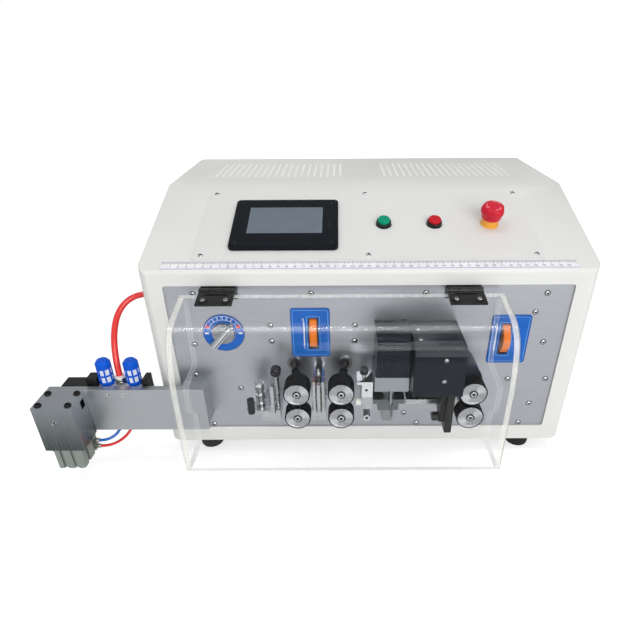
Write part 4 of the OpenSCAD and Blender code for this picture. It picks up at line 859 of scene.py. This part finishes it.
detail("rule_marks", "machine", "print_blue", ["tick", "border"], draw_rule)
detail("dial_print", "machine", "print_blue", ["navy", "mark", "mark_red", "ring"], draw_dial)
for i, (label, slot) in enumerate((((-73.2, 198.5), (-69.5, 197.5)), ((181.5, 187.5), (176.0, 188.0)))):
    detail("label_print_%d" % (i + 1), "machine", "print_blue", ["navy", "line", "mark", "dark"],
           draw_label(*label, *slot))

# ---------------------------------------------------------------- screws

PLATE_SCREWS = [
    (-224, 160), (-124, 187), (-124, 164), (-229, 113), (-171, 90), (-216, 232), (-215, 28), (-71, 232),
    (-17, 187), (-17, 164), (70, 232), (219, 231), (209, 205), (227, 161), (241, 103), (226, 62),
    (217, 28), (190, 103), (53, 46), (72, 28), (94, 44)]
PANEL_SCREWS = [(x, q) for x in (-206.5, 0.0, 206.5) for q in (28.0, 157.0)]


def draw_recesses(bm):
    hexagon = [(1.5 * math.cos(k * math.pi / 3), 1.5 * math.sin(k * math.pi / 3)) for k in range(6)]
    spots = [on_plate(x, 22.0 + z, 0.0) for x, z in PLATE_SCREWS]
    for m in spots:
        # Painted shadow: a dark ring round each plate screw's head.
        sector(bm, m, 3.1, 3.9, 0, 360, 0.0, 0.12, 0)
    spots += [on_slope(x, q, PANEL_T) for x, q in PANEL_SCREWS]
    for m in spots:
        # Painted shade: a dark hexagon on each screw head for its socket.
        plate(bm, m, hexagon, 1.02, 1.12, 0)


def draw_clamp_screws(bm):
    for x in (-410.6, -373.4):
        for y in (-57.2, -32.8):
            m = placed(x, y, 130.5)
            # Painted shadow: a dark ring round each screw head.
            lathe(bm, m, [(4.5, 0.0), (4.5, 0.12), (3.9, 0.15)], 1, 32)
            cap_screw(bm, m, 3.9, 2.2, 0, 1)


def draw_arm_screws(bm):
    for x in (-337.4, -317.5):
        m = placed(x, -26.5, 122.2, FORWARD)
        lathe(bm, m, [(2.2, 0.0), (2.1, 0.15), (1.3, 0.05), (1.2, 0.02)], 0, 24)
        # Painted shade: a dark disc in each screw's socket.
        lathe(bm, m, [(1.2, 0.06), (0.0, 0.06)], 1, 12)
    m = placed(-394.0, -60.6, 107.5, FORWARD)
    # Painted shade: a dark ring in the hole round the clamp's front screw.
    sector(bm, m, 4.2, 4.9, 0, 360, 0.0, 0.3, 1)
    lathe(bm, m, [(4.4, 0.0), (4.3, 0.5), (3.2, 1.2), (1.5, 1.4)], 0, 28)
    # Painted shade in the front screw's socket.
    lathe(bm, m, [(1.5, 1.4), (1.4, 0.7), (0.0, 0.7)], 1, 6)


def draw_housing_screws(bm):
    for z in (200.0, 170.4):
        dome_screw(bm, placed(87.6, -66.8, z, FORWARD), 2.6)
    for y in (-20.0, -44.0):
        dome_screw(bm, placed(60.0, y, 215.0), 2.4)


def draw_nose_dot(bm):
    lathe(bm, placed(-3.0, -45.8, 143.0, FORWARD),
          [(1.9, 0.0), (1.8, 0.25), (1.1, 0.3), (1.0, 0.1), (0.0, 0.1)], 0, 20)
    # Painted shade: a dark hexagon for the thumbscrew's socket.
    m = placed(-2.0, -50.8, 103.0, FORWARD)
    lathe(bm, m, [(2.4, 0.05), (2.3, 0.08), (0.0, 0.08)], 0, 6)


def draw_leaf_screws(bm):
    lean = Matrix.Rotation(math.radians(HINGE_LEAN), 4, "X")
    for x in HINGES_X:
        leaf = placed(x, HINGE_Y, HINGE_Z, lean)
        for side in (-13.5, 13.5):
            m = leaf @ Matrix.Translation((side, -19.0, 1.5))
            lathe(bm, m, [(6.0, 0.0), (5.9, 0.7), (5.3, 1.2), (3.4, 1.2), (3.2, 0.4), (0.0, 0.4)], 2, 32)
            cross_screw(bm, m @ Matrix.Translation((0.0, 0.0, 0.42)), 2.9, 0, 1)
            block(bm, leaf, (min(side, 0.0), -9.0, 1.5), (max(side, 0.0), -6.0, 2.6), 2)


def draw_back_screws(bm):
    spots = [(x, z) for x in (-266.0, -90.0, 90.0, 266.0) for z in (34.0, 332.0)]
    spots += [(x, z) for z in (140.0, 230.0) for x in (-266.0, 266.0)]
    for x, z in spots:
        cross_screw(bm, placed(x, BACK_Y, z, BACKWARD), 3.0)
    for z in (54.86, 109.14):
        cross_screw(bm, placed(INLET_X, BACK_Y + 2.2, z, BACKWARD), 1.8)


# Dark rings round the plate screws and dark sockets on plate and panel screws: painted shade.
detail("screw_shade_marks", "machine", "screw_steel", ["dark"], draw_recesses)
detail("clamp_screws", "machine", "black_plastic", ["black", "dark"], draw_clamp_screws)
detail("arm_screws", "machine", "screw_steel", ["bright", "dark"], draw_arm_screws)
detail("housing_screws", "machine", "screw_steel", ["screw", "dark"], draw_housing_screws)
detail("nose_screws", "machine", "black_plastic", ["dark"], draw_nose_dot)
detail("leaf_screws", "cover", "screw_steel", ["screw", "dark", "hinge"], draw_leaf_screws)
detail("back_screws", "machine", "screw_steel", ["screw", "dark"], draw_back_screws)

# ---------------------------------------------------------------- smaller pieces


def draw_estop(bm):
    m = on_slope(ESTOP_X, BUTTONS_Q, 16.9)
    lathe(bm, m, [
        (0.0, 9.0), (5.1, 9.0), (5.1, 0.0), (10.9, 0.0), (10.9, -4.6), (12.2, -4.6), (12.7, -4.0),
        (13.6, 1.0), (14.8, 3.4), (15.4, 5.6), (15.2, 8.0), (14.4, 10.0), (12.8, 11.5), (10.6, 12.4),
        (7.0, 12.85), (0.0, 13.0)], 0, 72, 0.12)
    for k in range(3):
        a = 120 * k + 60
        sector(bm, m, 8.6, 9.7, a - 30, a + 14, 12.45, 12.85, 1)
        tip = [(11.16, a + 14), (6.138, a + 14), (8.556, a + 34)]
        plate(bm, m, [(r * math.cos(math.radians(b)), r * math.sin(math.radians(b))) for r, b in tip],
              12.3, 12.8, 1)


estop = detail("estop_head_finished", NODES["estop_head"]["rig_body"], SLOTS["estop_head"],
               ["crimson", "pale_red"], draw_estop)
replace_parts(estop, "estop_head")


def draw_collar(bm):
    lathe(bm, on_slope(ESTOP_X, BUTTONS_Q, PANEL_T), [
        (8.2, -30.0), (10.5, -30.0), (10.5, 0.0), (11.6, 0.0), (11.6, 1.6), (11.2, 2.2), (10.2, 2.6),
        (10.1, 10.6), (9.7, 11.0), (8.2, 11.0), (8.2, -30.0)], 0, 64)


def draw_bezels(bm):
    for x in BUTTONS_X:
        lathe(bm, on_slope(x, BUTTONS_Q, PANEL_T), [
            (8.15, -28.0), (9.8, -28.0), (9.8, 0.0), (10.0, 0.0), (10.0, 0.9), (9.6, 1.1), (9.6, 4.5),
            (9.2, 5.0), (8.15, 5.0), (8.15, -28.0)], 0, 56)


for node, finish, draw in (("estop_collar", "yellow", draw_collar), ("button_bezels", "black", draw_bezels)):
    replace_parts(detail(node + "_finished", NODES[node]["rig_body"], SLOTS[node], [finish], draw), node)


def draw_neck(x, lean):
    def draw(bm):
        start, end = at(x, -21.8, 138.5), at(x + lean, -0.8, 153.5)
        turn = (end - start).to_track_quat("Z", "Y").to_matrix()
        m = Matrix.Translation(start) @ turn.to_4x4() @ Matrix.Scale(MM, 4)
        profile = [(2.9, 8.2)]
        for k in range(4):
            h = 8.4 + 2.5 * k
            profile += [(4.7, h), (5.6, h + 0.5), (5.7, h + 1.1), (5.2, h + 1.6), (4.7, h + 2.2)]
        lathe(bm, m, profile + [(2.9, 18.4)], 0, 36)
    return draw


for i, (x, lean) in enumerate(((-90.3, -6.0), (-34.6, 6.0))):
    detail("shaft_bellows_%d" % (i + 1), "drive_shaft_%d" % (i + 1), "black_plastic", ["bezel"],
           draw_neck(x, lean))


def draw_inlet_rings(bm):
    for k in range(5):
        z = 112.0 + 6.6 * k
        lathe(bm, placed(-139.0, WIRE_Y + 8.5, z),
              [(4.5, 0.0), (5.6, 0.4), (5.9, 1.2), (5.9, 4.2), (5.6, 5.0), (4.5, 5.4)], k % 2, 32)


# Black sheet on the front plate behind the blade parts: painted shade for the dark band between the blocks
# above and the ledge below.
def draw_liner(bm):
    for x0, x1 in ((6.6, 21.6), (36.4, 94.6)):
        block(bm, on_plate(), (x0, 108.4, 0.0), (x1, 163.0, 0.45), 0)


def draw_stub(bm):
    m = placed(-410.0, -52.0, 53.0, Matrix.Rotation(-math.pi / 2, 4, "Y"))
    lathe(bm, m, [(0.0, 0.0), (2.2, 0.0), (2.2, 2.4), (3.0, 2.6), (3.0, 5.0), (2.4, 5.6), (0.0, 5.7)], 0, 24)


def draw_fitting_seal(bm):
    lathe(bm, placed(VALVE_X, VALVE_Y, 133.2),
          [(6.5, 0.0), (6.85, 0.2), (6.85, 1.4), (6.5, 1.6)], 0, 40)


# Near-white sheet just under the top, filling the vent slots: painted light seen through them.
def draw_filter(bm):
    for x in (-129.0, 129.0):
        block(bm, placed(x, 269.0, shell_high.z / MM - 0.25), (-104.0, -54.0, -1.6), (104.0, 54.0, 0.0), 0)


def draw_bezel_plugs(bm):
    for x in (-60.0, 60.0):
        for q in (-41.0, 41.0):
            lathe(bm, on_slope(SCREEN_X + x, SCREEN_Q + q, SCREEN_H),
                  [(1.9, 0.0), (1.8, 0.1), (1.5, 0.1), (1.4, 0.02), (0.0, 0.02)], 0, 24)
    sector(bm, on_slope(SCREEN_X + 64.0, SCREEN_Q - 6.0, SCREEN_H), 8.0, 9.0, 105, 255, 0.0, 0.12, 0)


def draw_inlet(bm):
    socket = placed(INLET_X, 350.0, 70.0, BACKWARD)
    for x, y in ((-5.5, -1.5), (5.5, -1.5), (0.0, 3.0)):
        block(bm, socket, (x - 1.0, y - 2.2, 0.0), (x + 1.0, y + 2.2, 13.0), 1)
    switch = placed(INLET_X, 364.0, 94.0, BACKWARD)
    rise = [(-6.5, 1.0), (-6.5, 4.2), (0.0, 2.2), (6.5, 2.0), (6.5, 1.0)]
    tip = switch @ Matrix.Rotation(math.pi / 2, 4, "Y") @ Matrix.Rotation(math.pi / 2, 4, "Z")
    plate(bm, tip, rise, -9.4, 9.4, 0)


def draw_seams(bm):
    """Glue line where each side panel's edge stands in the bent sheet, a curve in Y and Z."""
    inset, drop = 1.5, 1.5                          # below the sheet's face, and its face below the hinge pin
    tight, wide = 40.0, 180.0                       # outer radii of its bends
    lean, knee = HINGE_LEAN, 72.0                   # angles at which the two bends start
    sin, cos, tan = (lambda a, g=g: g(math.radians(a)) for g in (math.sin, math.cos, math.tan))

    def bent(c, r, a):
        return c + Vector((-sin(a), cos(a))) * (r - inset)
    y0, z0 = HINGE_Y + drop * sin(lean), HINGE_Z - drop * cos(lean)
    run = y0 - COVER_FRONT - tight * (sin(knee) - sin(lean)) - wide * (1.0 - sin(knee))
    crown = Vector((y0 - run + tight * sin(lean), z0 - run * tan(lean) - tight * cos(lean)))
    brow = crown + Vector((-sin(knee), cos(knee))) * (tight - wide)
    path = [bent(crown, tight, lean) + Vector((1.0, tan(lean))) * (run - 8.0)]
    path += [bent(crown, tight, lean + 5 * k) for k in range(13)]
    path += [bent(brow, wide, knee + 3 * k) for k in range(1, 7)]
    path.append(Vector((path[-1].x, COVER_FOOT)))
    for x in (COVER_X - 194.5, COVER_X + 188.5):
        rows = [[bm.verts.new(at(x + w, q.x, q.y)) for q in path] for w in (0.0, 6.0)]
        for a, b, c, d in zip(rows[0], rows[0][1:], rows[1][1:], rows[1]):
            bm.faces.new((a, b, c, d))


def draw_hub_bolt(low, high):
    def draw(bm):
        middle = ((low + high) / 2 - ORIGIN) / MM
        m = placed(middle.x, (low.y - ORIGIN.y) / MM, middle.z, FORWARD)
        # Painted shadow: a dark ring round the bolt head.
        lathe(bm, m, [(5.0, -0.6), (5.0, 0.08), (3.8, 0.10)], 1, 36)
        lathe(bm, m, [(3.8, 0.0), (3.7, 0.5), (3.3, 0.8), (2.1, 0.8)], 0, 36)
        # Painted shade in the bolt's socket.
        lathe(bm, m, [(2.1, 0.8), (2.0, 0.2), (0.0, 0.2)], 1, 6)
    return draw


for hub in HUBS:
    detail(hub + "_bolt", NODES[hub]["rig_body"], "screw_steel", ["screw", "dark"],
           draw_hub_bolt(*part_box(hub)))


def draw_pointer_lines(bm):
    m = on_plate(*DIAL_AT, POINTER_H) @ Matrix.Rotation(-DIAL_REST, 4, "Z")
    # Painted shade: two dark strokes along the pointer's top for its grooves; the white stroke at the tip is
    # a mark.
    for x, width in ((-1.9, 0.5), (1.5, 1.1)):
        stroke(bm, m, (x, -18.0), (x, 13.5), width, 0.0, INK, 0)
    stroke(bm, m, (0.0, 15.2), (0.0, 17.8), 1.5, 0.0, THICK_INK, 1)


# Painted groove shade and the tip mark on the pointer.
detail("pointer_groove_shade", NODES["dial_knob"]["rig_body"], "print_blue", ["dark", "mark"], draw_pointer_lines)
detail("cover_seams", "cover", SLOTS["front_cover"], ["seam"], draw_seams)
detail("inlet_rings", "machine", "guide_steel", ["bright", "bush"], draw_inlet_rings)
# Painted shade behind the blade parts.
detail("blade_shade_sheet", "machine", "hood_black", ["hood"], draw_liner)
detail("cylinder_stub", "machine", "fitting_brass", ["nickel"], draw_stub)
detail("fitting_seal", "machine", "black_plastic", ["black"], draw_fitting_seal)
# Painted light in the vent slots.
detail("vent_light_fill", "machine", "cabinet_white", ["light_fill"], draw_filter)
detail("bezel_plugs", "machine", "bezel_black", ["black"], draw_bezel_plugs)
detail("inlet_details", "machine", "black_plastic", ["rocker", "bright"], draw_inlet)

SCENE.view_settings.view_transform = "Standard"
